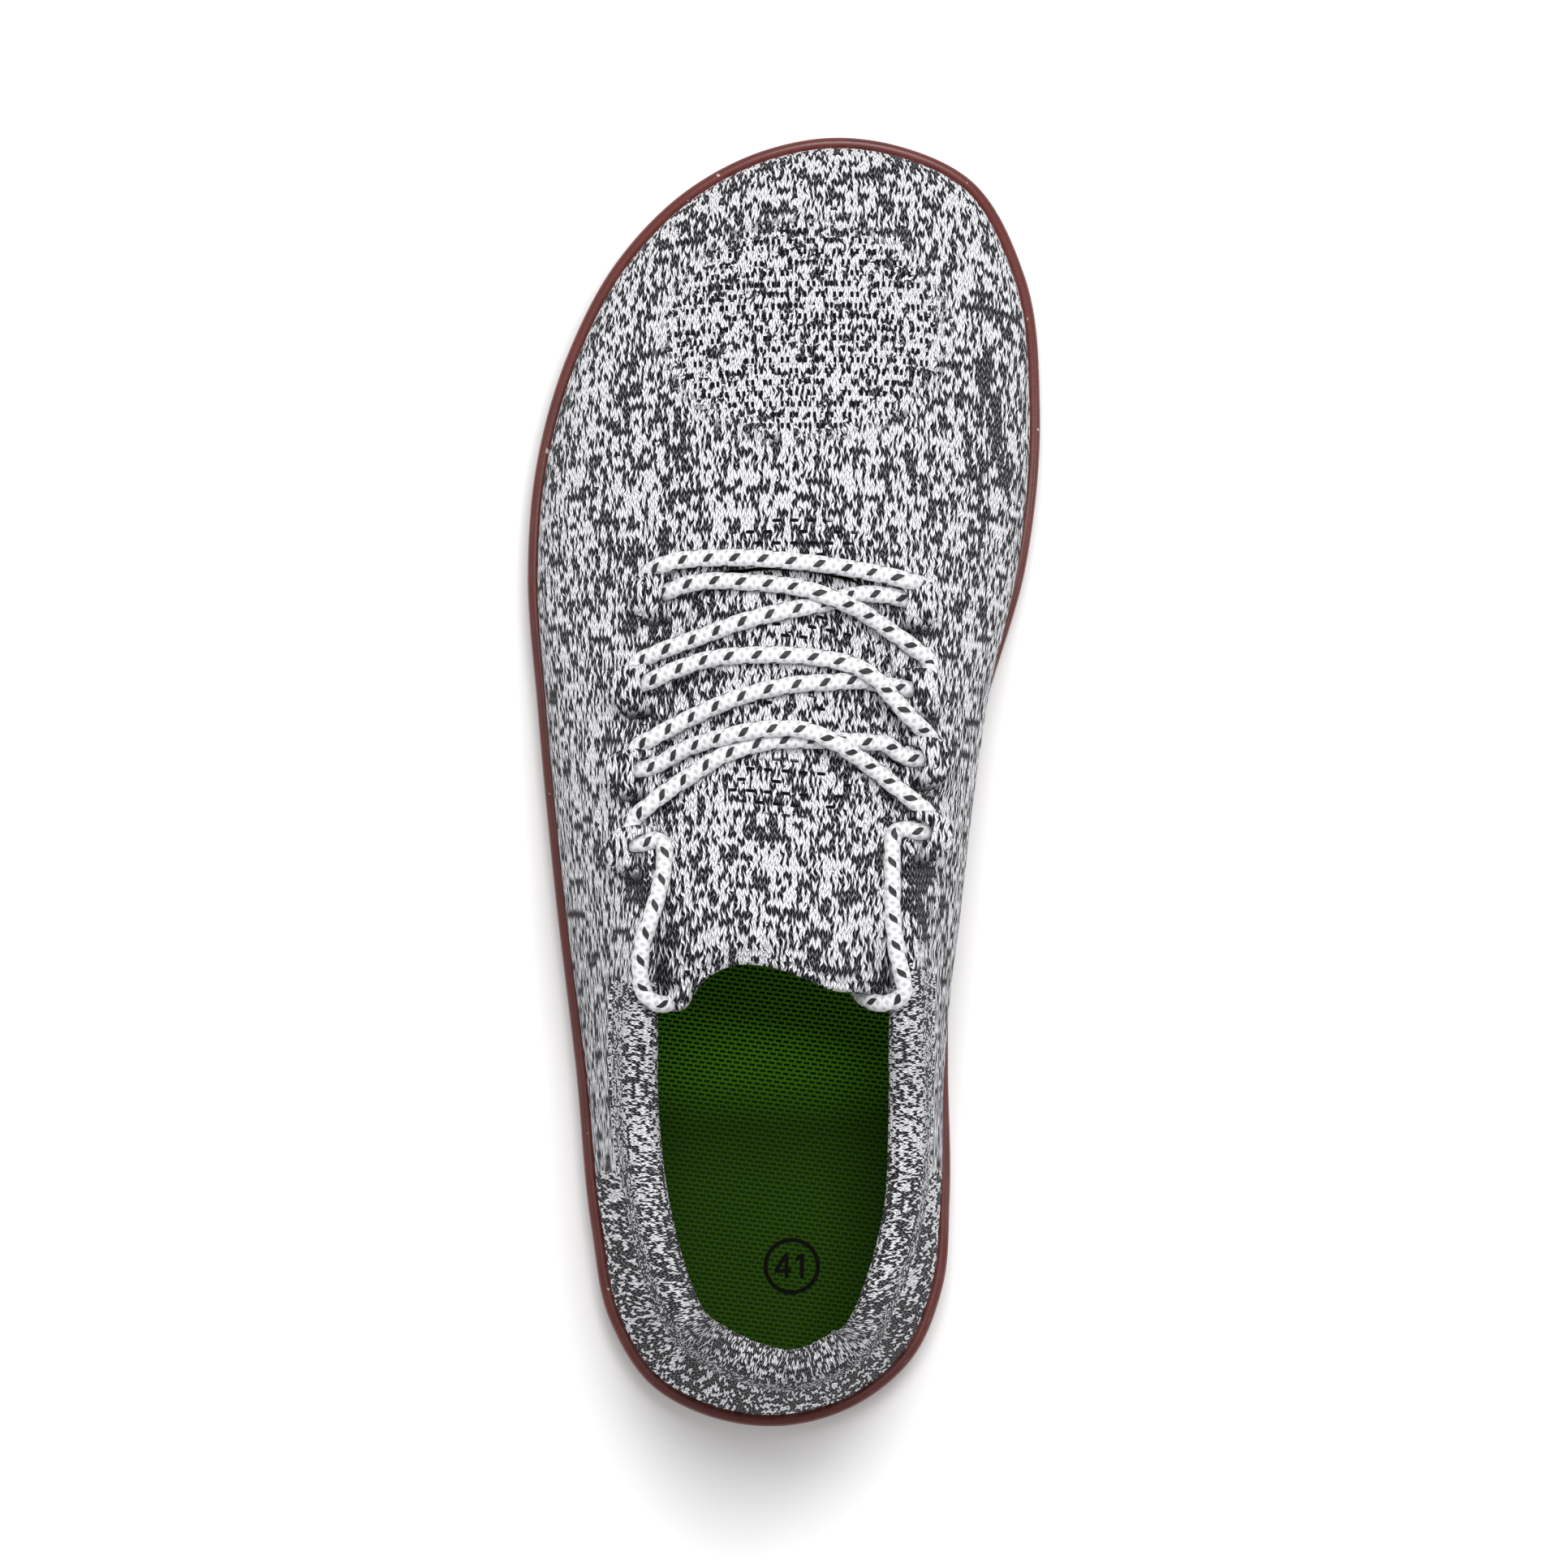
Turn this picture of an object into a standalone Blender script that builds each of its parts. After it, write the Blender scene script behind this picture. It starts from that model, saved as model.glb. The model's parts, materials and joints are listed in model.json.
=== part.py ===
"""Knitted barefoot shoe for the left foot, in metres: +Y to the toe, +X to the big-toe side, +Z up.

A rubber cup sole, an insole, a hollow knitted upper, its tongue, eight knitted lace loops and the lace
are separate closed solids. The outline of the sole drives the rest: the wall of the cup, the foot bed
and the foot of the upper are insets of it, and spokes run up from it to the collar and the throat.
Lateral is the side of the little toe, and medial is the side of the big toe.
"""
import math

import bmesh
import bpy
import numpy as np
from mathutils import Vector
from mathutils.bvhtree import BVHTree

# Overall sizes
SOLE_LENGTH = 0.277
SOLE_WIDTH = 0.110
HEEL_HEIGHT = 0.070
INSTEP_HEIGHT = 0.070

# Sole
TOE_SPRING = 0.0075
TOE_BREAK = 0.70
HEEL_BEVEL = 0.0010
HEEL_BREAK = 0.055
CUP_HEIGHT = 0.0125
LIP_THICKNESS = 0.0020
LIP_ROUND = 0.0005
BASE_THICKNESS = 0.0030
LUG_DEPTH = 0.0020
RIM_STEP = 0.0002
RIM_WIDTH = 0.0042
FLARE = 0.0080
FLARE_POWER = 6.0
BAND_STEP = 0.0006
BAND_EDGE = 0.0002
BAND_TOP = 0.74
BAND_FOOT = 0.30
SIDE_FOOT = 0.12

# Upper
KNIT_THICKNESS = 0.0022
OPENING_WIDTH = 0.065
OPENING_CENTRE = -0.003
COLLAR_PADDING = 0.0080
BULGE = 0.0050
BULGE_POWER = 0.7

# Insole and tongue
INSOLE_THICKNESS = 0.0035
INSOLE_ROUND = 0.0007
TONGUE_THICKNESS = 0.0028
TONGUE_PADDING = 0.0018
TONGUE_CREST = 0.0085
TONGUE_TOP_RISE = 0.0110
TONGUE_TUCK = 0.0050
TONGUE_CURVE = 0.0080

# Lace and its loops
LACE_DIAMETER = 0.0037
LOOP_WIDTH = 0.0078
LOOP_THICKNESS = 0.0017
LOOP_FOOT = 0.0032

# Clearances
GAP = 0.0003
TONGUE_GAP = 0.0006
LACE_GAP = 0.0006
EMBED = 0.0006
RIM_OVERLAP = 0.0014
WELD = 0.00003
TRIM_REACH = 0.75
SMALLEST_LUG = 0.0000015

# Samples along one side of the outline, from heel to toe
SIDE_STEPS = 32

# Outline of the sole: shares of the width from the middle, and of the length from the heel
OUTLINE_COLUMNS = ("across", "along")
OUTLINE = (
    (0.005, 0.000),
    (-0.137, 0.006),
    (-0.258, 0.031),
    (-0.339, 0.081),
    (-0.375, 0.152),
    (-0.405, 0.274),
    (-0.445, 0.408),
    (-0.481, 0.558),
    (-0.500, 0.666),
    (-0.485, 0.742),
    (-0.418, 0.836),
    (-0.326, 0.904),
    (-0.176, 0.963),
    (-0.040, 0.990),
    (0.095, 1.000),
    (0.220, 0.994),
    (0.362, 0.968),
    (0.470, 0.893),
    (0.500, 0.792),
    (0.474, 0.671),
    (0.385, 0.546),
    (0.326, 0.409),
    (0.320, 0.283),
    (0.323, 0.175),
    (0.309, 0.107),
    (0.250, 0.052),
    (0.141, 0.016),
)
TOE_ROW = 14

# Side of the sole: rim height as a share of CUP_HEIGHT, flares of FLARE, ribbed band of BAND_STEP
SIDE_COLUMNS = ("along", "rim_height", "lateral_flare", "medial_flare", "band")
SIDE_ROWS = (
    (0.00, 1.05, 0.42, 0.42, 0.0),
    (0.14, 1.00, 0.38, 0.38, 0.0),
    (0.26, 0.96, 0.42, 0.60, 0.8),
    (0.42, 0.94, 0.50, 1.00, 1.0),
    (0.58, 0.90, 0.50, 0.80, 1.0),
    (0.70, 0.86, 0.40, 0.42, 0.4),
    (0.80, 0.84, 0.38, 0.38, 0.0),
    (0.90, 0.88, 0.38, 0.38, 0.0),
    (1.00, 1.00, 0.42, 0.42, 0.0),
)

# Edge of the upper, one row a spoke. Around runs 0 to 1 from heel to toe on the lateral side and on
# to 2 back along the medial side. Across is a share of OPENING_WIDTH, along of SOLE_LENGTH, the heights
# of HEEL_HEIGHT and INSTEP_HEIGHT, bulge of BULGE, and padding of COLLAR_PADDING.
UPPER_COLUMNS = (
    "around", "across", "along", "heel_height", "instep_height", "fullness", "edge_slope", "bulge", "padding",
)
UPPER_ROWS = (
    (0.00, 0.058, 0.032, 1.00, 0.00, 0.90, 0.90, 0.05, 1.0),
    (0.07, -0.203, 0.052, 0.99, 0.00, 0.90, 0.90, 0.05, 1.0),
    (0.14, -0.346, 0.088, 0.94, 0.00, 0.90, 0.90, 0.10, 1.0),
    (0.21, -0.443, 0.161, 0.85, 0.00, 0.90, 0.90, 0.20, 1.0),
    (0.28, -0.492, 0.246, 0.78, 0.00, 0.90, 0.85, 0.20, 1.0),
    (0.34, -0.485, 0.318, 0.42, 0.41, 0.90, 0.70, 0.25, 0.9),
    (0.39, -0.446, 0.380, 0.00, 0.91, 0.88, 0.50, 0.25, 0.4),
    (0.47, -0.408, 0.478, 0.00, 0.865, 0.86, 0.40, 0.25, 0.1),
    (0.55, -0.362, 0.572, 0.00, 0.795, 0.84, 0.38, 0.25, 0.1),
    (0.62, -0.290, 0.634, 0.00, 0.750, 0.82, 0.40, 0.20, 0.0),
    (0.72, -0.215, 0.662, 0.00, 0.765, 0.72, 0.45, 0.15, 0.0),
    (0.84, -0.100, 0.669, 0.00, 0.800, 0.64, 0.50, 0.10, 0.0),
    (1.00, 0.062, 0.671, 0.00, 0.815, 0.60, 0.50, 0.10, 0.0),
    (1.16, 0.200, 0.666, 0.00, 0.800, 0.64, 0.50, 0.10, 0.0),
    (1.26, 0.308, 0.657, 0.00, 0.765, 0.72, 0.45, 0.15, 0.0),
    (1.36, 0.385, 0.630, 0.00, 0.750, 0.82, 0.36, 0.30, 0.0),
    (1.44, 0.438, 0.578, 0.00, 0.795, 0.84, 0.28, 0.60, 0.1),
    (1.52, 0.465, 0.490, 0.00, 0.865, 0.86, 0.22, 0.95, 0.1),
    (1.60, 0.485, 0.402, 0.00, 0.91, 0.88, 0.30, 1.00, 0.4),
    (1.67, 0.500, 0.318, 0.42, 0.41, 0.90, 0.60, 0.60, 0.9),
    (1.73, 0.508, 0.250, 0.78, 0.00, 0.90, 0.85, 0.35, 1.0),
    (1.80, 0.485, 0.165, 0.85, 0.00, 0.90, 0.90, 0.25, 1.0),
    (1.86, 0.385, 0.094, 0.94, 0.00, 0.90, 0.90, 0.10, 1.0),
    (1.93, 0.285, 0.054, 0.99, 0.00, 0.90, 0.90, 0.05, 1.0),
)

# Shares of the way up the wall at which the upper has a row of corners
WALL_SHARES = (0.14, 0.26, 0.38, 0.50, 0.62, 0.74, 0.87, 1.0)
WHOLE_WAY = 2.0
PADDING_START = 0.50
RIM_ANGLES = (45.0, 90.0, 135.0)

# Tongue: stations from the front of the throat to its free end, with shares of TONGUE_CREST,
# TONGUE_TOP_RISE, TONGUE_TUCK and TONGUE_PADDING
TONGUE_COLUMNS = ("way", "crest", "rise", "tuck", "padding")
TONGUE_ROWS = (
    (0.00, 0.00, 0.00, 0.08, 0.0),
    (0.05, 0.22, 0.00, 0.20, 0.0),
    (0.13, 0.55, 0.00, 0.60, 0.0),
    (0.25, 0.86, 0.00, 1.00, 0.0),
    (0.38, 1.00, 0.01, 1.00, 0.0),
    (0.52, 1.06, 0.05, 1.00, 0.0),
    (0.66, 1.12, 0.16, 1.00, 0.0),
    (0.78, 1.18, 0.38, 1.00, 0.1),
    (0.88, 1.22, 0.70, 0.90, 0.5),
    (0.96, 1.20, 0.96, 0.70, 1.0),
    (1.00, 1.12, 1.00, 0.50, 0.6),
)
# Across the tongue, from its lateral to its medial edge: how far its free end curves to the toe, as a
# share of TONGUE_CURVE
TONGUE_END_COLUMNS = ("across", "forward")
TONGUE_END = (
    (-1.00, 0.00),
    (-0.86, 0.00),
    (-0.66, 0.66),
    (-0.40, 1.00),
    (-0.08, 0.94),
    (0.25, 0.60),
    (0.58, 0.20),
    (0.80, 0.14),
    (1.00, 0.00),
)
THROAT_CORNERS = (0.66, 1.34)
TONGUE_ENDS = (0.352, 1.648)
DOME_POWER = 2.2
FRONT_POWER = 4
END_POWER = 5

# Tread: lines along the foot that carry the darts, as shares of SOLE_WIDTH. What runs along the foot
# is a share of SOLE_LENGTH from its middle.
LINE_COLUMNS = ("along", "rim", "first", "second", "third", "fourth", "outer")
DART_LINES = (
    (0.15, 0.490, 0.305, 0.115, -0.080, -0.275, -0.470),
    (0.25, 0.490, 0.305, 0.110, -0.085, -0.280, -0.475),
    (0.36, 0.480, 0.290, 0.090, -0.105, -0.300, -0.495),
    (0.52, 0.510, 0.295, 0.085, -0.130, -0.344, -0.560),
    (0.65, 0.510, 0.280, 0.050, -0.178, -0.400, -0.620),
    (0.78, 0.545, 0.310, 0.071, -0.168, -0.405, -0.640),
    (0.90, 0.565, 0.325, 0.085, -0.155, -0.395, -0.630),
)
DART_PITCH = 0.0513
DART_START = 0.4188
DART_ROWS = 15
LINE_DROP = 0.0123
# The two darts of a cell, in shares of the way to the next line and of the pitch to the next row
DART_COLUMNS = ("over", "down")
DARTS = (
    ((0.00, 0.00), (-0.26, 0.99), (0.02, 0.62), (0.31, 0.92)),
    ((0.57, 1.03), (0.83, 0.09), (0.53, 0.40), (0.23, 0.13)),
)

# Zigzag ribs, as shares of SOLE_LENGTH: pitch, depth front to back, the two legs of a zig and the
# shift from rib to rib; and the number of ribs
RIB_COLUMNS = ("start", "pitch", "width", "rise_run", "rise", "fall_run", "fall", "shift")
TOE_RIBS = (0.3484, 0.0206, 0.0123, 0.0289, 0.0090, 0.0206, 0.0173, 0.0069, 10)
HEEL_RIBS = (-0.4776, 0.0238, 0.0141, 0.0307, 0.0076, 0.0206, 0.0231, 0.0069, 10)
RIB_REACH = 0.582
TOE_LINE = 0.3357
HEEL_LINE = -0.3123
LINE_SLOPE = 0.08
LINE_GROOVE = 0.0010

# Lace loops: where each lies, as shares of OPENING_WIDTH from OPENING_CENTRE and of SOLE_LENGTH
LOOP_COLUMNS = ("across", "along")
LATERAL_LOOPS = ((-0.372, 0.643), (-0.432, 0.571), (-0.440, 0.506), (-0.440, 0.446))
MEDIAL_LOOPS = ((0.462, 0.637), (0.470, 0.568), (0.492, 0.515), (0.492, 0.458))

# Outline of a loop from its front foot over to its back foot, as shares of its reach and height
BELL_COLUMNS = ("out", "rise")
LOOP_BELL = (
    (1.00, 0.00),
    (0.94, 0.20),
    (0.74, 0.56),
    (0.46, 0.88),
    (0.15, 1.00),
    (-0.15, 1.00),
    (-0.46, 0.88),
    (-0.74, 0.56),
    (-0.94, 0.20),
    (-1.00, 0.00),
)

# Lace bars from the lateral to the medial loops or back: shares of OPENING_WIDTH from OPENING_CENTRE, of
# SOLE_LENGTH from the middle, and how far a bar is lifted over another, in lace diameters
BAR_COLUMNS = ("across", "forward", "lift")
BARS = {
    "lace_bar_1": (
        (
            (-0.418, 0.1603, 0), (-0.338, 0.1697, 0), (-0.238, 0.1726, 0), (-0.138, 0.1733, 0),
            (-0.031, 0.1726, 0), (0.077, 0.1704, 0), (0.185, 0.1675, 0), (0.300, 0.1632, 0),
            (0.408, 0.1581, 0), (0.514, 0.1509, 0),
        ),
    ),
    "lace_crossing_2": (
        (
            (-0.262, 0.1538, 0), (-0.192, 0.1556, 0), (-0.092, 0.1545, 0), (0.008, 0.1527, 0),
            (0.108, 0.1491, 0.1), (0.200, 0.1419, 0.5), (0.289, 0.1325, 0.55), (0.369, 0.1202, 0.2),
            (0.446, 0.1076, 0), (0.523, 0.0935, 0),
        ),
        (
            (0.378, 0.1444, 0), (0.282, 0.1451, 0), (0.169, 0.1375, 0), (0.072, 0.1332, 0),
            (-0.015, 0.1289, 0), (-0.100, 0.1235, 0), (-0.185, 0.1162, 0), (-0.269, 0.1090, 0),
            (-0.351, 0.1022, 0), (-0.443, 0.0924, 0),
        ),
    ),
    "lace_crossing_3": (
        (
            (-0.345, 0.0838, 0), (-0.285, 0.0892, 0), (-0.208, 0.0946, 0), (-0.123, 0.0971, 0),
            (-0.031, 0.0978, 0), (0.069, 0.0975, 0.1), (0.162, 0.0953, 0.6), (0.254, 0.0910, 0.6),
            (0.337, 0.0809, 0.5), (0.400, 0.0646, 0.1), (0.462, 0.0484, 0), (0.526, 0.0339, 0),
        ),
        (
            (0.357, 0.0758, 0), (0.283, 0.0780, 0), (0.194, 0.0765, 0), (0.108, 0.0758, 0),
            (0.008, 0.0722, 0), (-0.082, 0.0671, 0), (-0.169, 0.0596, 0), (-0.238, 0.0523, 0),
            (-0.312, 0.0440, 0), (-0.385, 0.0347, 0), (-0.446, 0.0264, 0),
        ),
    ),
    "lace_crossing_4": (
        (
            (-0.345, 0.0166, 0), (-0.308, 0.0224, 0), (-0.240, 0.0289, 0), (-0.157, 0.0343, 0),
            (-0.077, 0.0386, 0), (0.015, 0.0408, 0.1), (0.108, 0.0397, 0.5), (0.200, 0.0310, 0.6),
            (0.282, 0.0188, 0.4), (0.358, 0.0054, 0), (0.428, -0.0079, 0), (0.514, -0.0238, 0),
        ),
        (
            (0.415, 0.0217, 0), (0.397, 0.0267, 0), (0.308, 0.0303, 0), (0.208, 0.0314, 0),
            (0.112, 0.0318, 0), (0.015, 0.0314, 0), (-0.086, 0.0264, 0), (-0.178, 0.0181, 0),
            (-0.257, 0.0061, 0), (-0.323, -0.0040, 0), (-0.391, -0.0159, 0), (-0.446, -0.0267, 0),
        ),
    ),
}
# Free ends of the lace: drop is how far a point hangs in the collar, as a share of HEEL_HEIGHT
END_COLUMNS = ("across", "forward", "drop")
ENDS = {
    "lace_end_lateral": (
        (-0.360, -0.0455, 0), (-0.352, -0.0563, 0), (-0.358, -0.0693, 0), (-0.375, -0.0874, 0),
        (-0.397, -0.1051, 0), (-0.425, -0.1245, 0), (-0.434, -0.1455, 0), (-0.425, -0.1617, 0),
        (-0.388, -0.1740, 0.012), (-0.329, -0.1805, 0.045), (-0.286, -0.1827, 0.12),
        (-0.268, -0.1827, 0.22),
    ),
    "lace_end_medial": (
        (0.406, -0.0383, 0), (0.398, -0.0487, 0), (0.397, -0.0610, 0), (0.398, -0.0798, 0),
        (0.398, -0.0989, 0), (0.405, -0.1177, 0), (0.415, -0.1365, 0), (0.431, -0.1516, 0),
        (0.437, -0.1646, 0), (0.409, -0.1769, 0.012), (0.348, -0.1827, 0.045), (0.302, -0.1834, 0.12),
        (0.283, -0.1834, 0.22),
    ),
}
CORD_STEP = 0.0046

# Search heights and rounds for what lies on the upper
SKY = 0.2
LAY_STEPS = 14
TAUT_STEPS = 3
LOOP_LIFT = 0.0003


def smooth_curve(keys, values, at):
    """Read rows of values between their keys, as a smooth curve that passes through each row."""
    keys = np.asarray(keys, dtype=float)
    values = np.asarray(values, dtype=float)
    slopes = np.gradient(values, keys, axis=0)
    index = np.clip(np.searchsorted(keys, at, side="right") - 1, 0, len(keys) - 2)
    span = keys[index + 1] - keys[index]
    share = (np.asarray(at, dtype=float) - keys[index]) / span
    shape = np.shape(share) + (1,) * (values.ndim - 1)
    share = np.reshape(share, shape)
    span = np.reshape(span, shape)
    start = (1 + 2 * share) * (1 - share) ** 2 * values[index]
    leave = share * (1 - share) ** 2 * span * slopes[index]
    end = share**2 * (3 - 2 * share) * values[index + 1]
    arrive = share**2 * (share - 1) * span * slopes[index + 1]
    return start + leave + end + arrive


def read_table(columns, rows):
    """Columns of a table by their names."""
    values = np.array(rows, dtype=float)
    return {name: values[:, place] for place, name in enumerate(columns)}


def closed_curve(keys, values, period, at):
    """Read a smooth curve that closes on itself after one period."""
    keys = np.asarray(keys, dtype=float)
    values = np.asarray(values, dtype=float)
    keys = np.concatenate([keys[-3:] - period, keys, keys[:3] + period])
    values = np.concatenate([values[-3:], values, values[:3]])
    return smooth_curve(keys, values, at)


def smooth_step(share):
    """Ease from 0 to 1 with level ends."""
    share = np.clip(share, 0.0, 1.0)
    return share * share * (3 - 2 * share)


def sole_outline():
    """Return the outline's corners and outward normals, lateral side first, from heel to heel."""
    shares = read_table(OUTLINE_COLUMNS, OUTLINE)
    corners = np.column_stack([shares["across"] * SOLE_WIDTH, shares["along"] * SOLE_LENGTH])
    chords = np.linalg.norm(np.diff(corners, axis=0, append=corners[:1]), axis=1)
    keys = np.concatenate([[0.0], np.cumsum(chords)[:-1]])
    period = chords.sum()
    fine_keys = np.linspace(0.0, period, 1201)
    fine = closed_curve(keys, corners, period, fine_keys)
    travel = np.concatenate([[0.0], np.cumsum(np.linalg.norm(np.diff(fine, axis=0), axis=1))])
    toe_travel = np.interp(keys[TOE_ROW], fine_keys, travel)
    lateral = np.linspace(0.0, toe_travel, SIDE_STEPS, endpoint=False)
    medial = np.linspace(toe_travel, travel[-1], SIDE_STEPS, endpoint=False)
    places = np.interp(np.concatenate([lateral, medial]), travel, fine_keys)
    points = closed_curve(keys, corners, period, places)
    step = period * 0.001
    ahead = closed_curve(keys, corners, period, places + step)
    behind = closed_curve(keys, corners, period, places - step)
    tangents = ahead - behind
    tangents /= np.linalg.norm(tangents, axis=1)[:, None]
    normals = np.stack([-tangents[:, 1], tangents[:, 0]], axis=1)
    points -= (points.max(axis=0) + points.min(axis=0)) / 2
    return points, normals


OUTLINE_POINTS, OUTLINE_NORMALS = sole_outline()
CORNERS = len(OUTLINE_POINTS)
AROUND = np.arange(CORNERS) / SIDE_STEPS
ON_LATERAL = AROUND <= 1.0


def along_share(y):
    """Turn a place along the shoe into a share of its length from the heel."""
    return np.clip(np.asarray(y, dtype=float) / SOLE_LENGTH + 0.5, 0.0, 1.0)


def ground_rise(y):
    """Height of the tread over the ground: nothing but at the toe and the back of the heel."""
    share = along_share(y)
    toe = np.clip((share - TOE_BREAK) / (1 - TOE_BREAK), 0.0, 1.0)
    heel = np.clip((HEEL_BREAK - share) / HEEL_BREAK, 0.0, 1.0)
    return TOE_SPRING * toe**2 + HEEL_BEVEL * heel**2


def side_sizes():
    """Rim height, flare and ribbed band at each corner of the outline."""
    rows = read_table(SIDE_COLUMNS, SIDE_ROWS)
    share = along_share(OUTLINE_POINTS[:, 1])
    read = {name: smooth_curve(rows["along"], values, share) for name, values in rows.items()}
    flare = np.where(ON_LATERAL, read["lateral_flare"], read["medial_flare"]) * FLARE
    band = np.clip(read["band"], 0.0, 1.0) * BAND_STEP
    return read["rim_height"] * CUP_HEIGHT, flare, band


RIM_HEIGHT, FLARES, BANDS = side_sizes()
FLOOR_HEIGHT = LUG_DEPTH + BASE_THICKNESS


def ring(inset, height):
    """Corners of the outline moved inward, at a height over the tread that follows the toe spring."""
    inset = np.broadcast_to(inset, CORNERS)
    plan = OUTLINE_POINTS - OUTLINE_NORMALS * inset[:, None]
    level = ground_rise(plan[:, 1]) + height
    return np.column_stack([plan, level])


def make_material(name, colour, roughness):
    """A plain surface for one part."""
    material = bpy.data.materials.new(name)
    material.use_nodes = True
    shader = material.node_tree.nodes["Principled BSDF"]
    shader.inputs["Base Color"].default_value = (*colour, 1.0)
    shader.inputs["Roughness"].default_value = roughness
    shader.inputs["Metallic"].default_value = 0.0
    return material


def make_object(name, bm, material, collection):
    """Turn a closed bmesh into a smooth-shaded object with its faces pointing out."""
    bmesh.ops.recalc_face_normals(bm, faces=bm.faces[:])
    mesh = bpy.data.meshes.new(name)
    bm.to_mesh(mesh)
    bm.free()
    mesh.shade_smooth()
    mesh.set_sharp_from_angle(angle=math.radians(35))
    mesh.materials.append(material)
    part = bpy.data.objects.new(name, mesh)
    collection.objects.link(part)
    return part


def add_rings(bm, rings, close_rows=False):
    """Join rings of equal length with four-sided faces and return their corners."""
    rows = []
    for points in rings:
        rows.append([bm.verts.new(point) for point in points])
    pairs = list(zip(rows, rows[1:]))
    if close_rows:
        pairs.append((rows[-1], rows[0]))
    for low, high in pairs:
        for index in range(len(low)):
            after = (index + 1) % len(low)
            bm.faces.new((low[index], low[after], high[after], high[index]))
    return rows


def fill_across(bm, row):
    """Close a ring of the outline with strips from its lateral to its medial side."""
    count = len(row)
    for index in range(count // 2):
        corners = [row[index], row[index + 1], row[count - index - 1], row[-index % count]]
        unique = list(dict.fromkeys(corners))
        bm.faces.new(unique)


def fill_band(bm, row):
    """Close a ring whose second half runs back beside its first half."""
    for index in range(len(row) // 2 - 1):
        bm.faces.new((row[index], row[index + 1], row[-index - 2], row[-index - 1]))


def make_sole_body(material, collection):
    """The cup without its lugs: lip, side with the ribbed band, rim and the floor of the tread."""
    side = RIM_HEIGHT - RIM_STEP

    def wall_ring(share, drop=0.0, extra=0.0):
        inset = FLARES * (1 - share) ** FLARE_POWER + extra
        return ring(inset, RIM_STEP + side * share - drop)

    rings = [
        ring(LIP_THICKNESS, FLOOR_HEIGHT),
        ring(LIP_THICKNESS, RIM_HEIGHT),
        ring(LIP_ROUND, RIM_HEIGHT),
        ring(0.0, RIM_HEIGHT - LIP_ROUND * 2),
        wall_ring(BAND_TOP),
        wall_ring(BAND_TOP, drop=BAND_EDGE, extra=BANDS),
        wall_ring(BAND_FOOT, extra=BANDS),
        wall_ring(BAND_FOOT, drop=BAND_EDGE),
        wall_ring(SIDE_FOOT),
        ring(FLARES + LIP_ROUND, RIM_STEP),
        ring(FLARES + RIM_WIDTH, RIM_STEP),
        ring(FLARES + RIM_WIDTH + BAND_EDGE, LUG_DEPTH),
    ]
    bm = bmesh.new()
    rows = add_rings(bm, rings)
    fill_across(bm, rows[0])
    fill_across(bm, rows[-1])
    return make_object("outsole", bm, material, collection)


def make_insole(material, collection):
    """Foot bed that fills the cup inside the foot of the upper."""
    inset = LIP_THICKNESS + GAP + KNIT_THICKNESS + GAP
    low = FLOOR_HEIGHT + GAP
    high = low + INSOLE_THICKNESS
    rings = [
        ring(inset + INSOLE_ROUND, low),
        ring(inset, low + INSOLE_ROUND),
        ring(inset, high - INSOLE_ROUND),
        ring(inset + INSOLE_ROUND, high),
    ]
    bm = bmesh.new()
    rows = add_rings(bm, rings)
    fill_across(bm, rows[0])
    fill_across(bm, rows[-1])
    return make_object("insole", bm, material, collection)


def upper_sizes():
    """Edge point, wall shape and padding of the upper for each corner of the outline."""
    rows = read_table(UPPER_COLUMNS, UPPER_ROWS)
    read = {name: closed_curve(rows["around"], values, WHOLE_WAY, AROUND) for name, values in rows.items()}
    edge = np.column_stack([
        OPENING_CENTRE + read["across"] * OPENING_WIDTH,
        (read["along"] - 0.5) * SOLE_LENGTH,
        read["heel_height"] * HEEL_HEIGHT + read["instep_height"] * INSTEP_HEIGHT,
    ])
    padding = np.clip(read["padding"], 0.0, 1.0)
    thickness = KNIT_THICKNESS + padding * (COLLAR_PADDING - KNIT_THICKNESS)
    return edge, read["fullness"], read["edge_slope"], read["bulge"] * BULGE, thickness


def wall_tangents(line):
    """Unit directions along a wall's line, from its foot to its edge."""
    tangents = np.gradient(line, axis=0)
    return tangents / np.linalg.norm(tangents, axis=1)[:, None]


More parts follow.
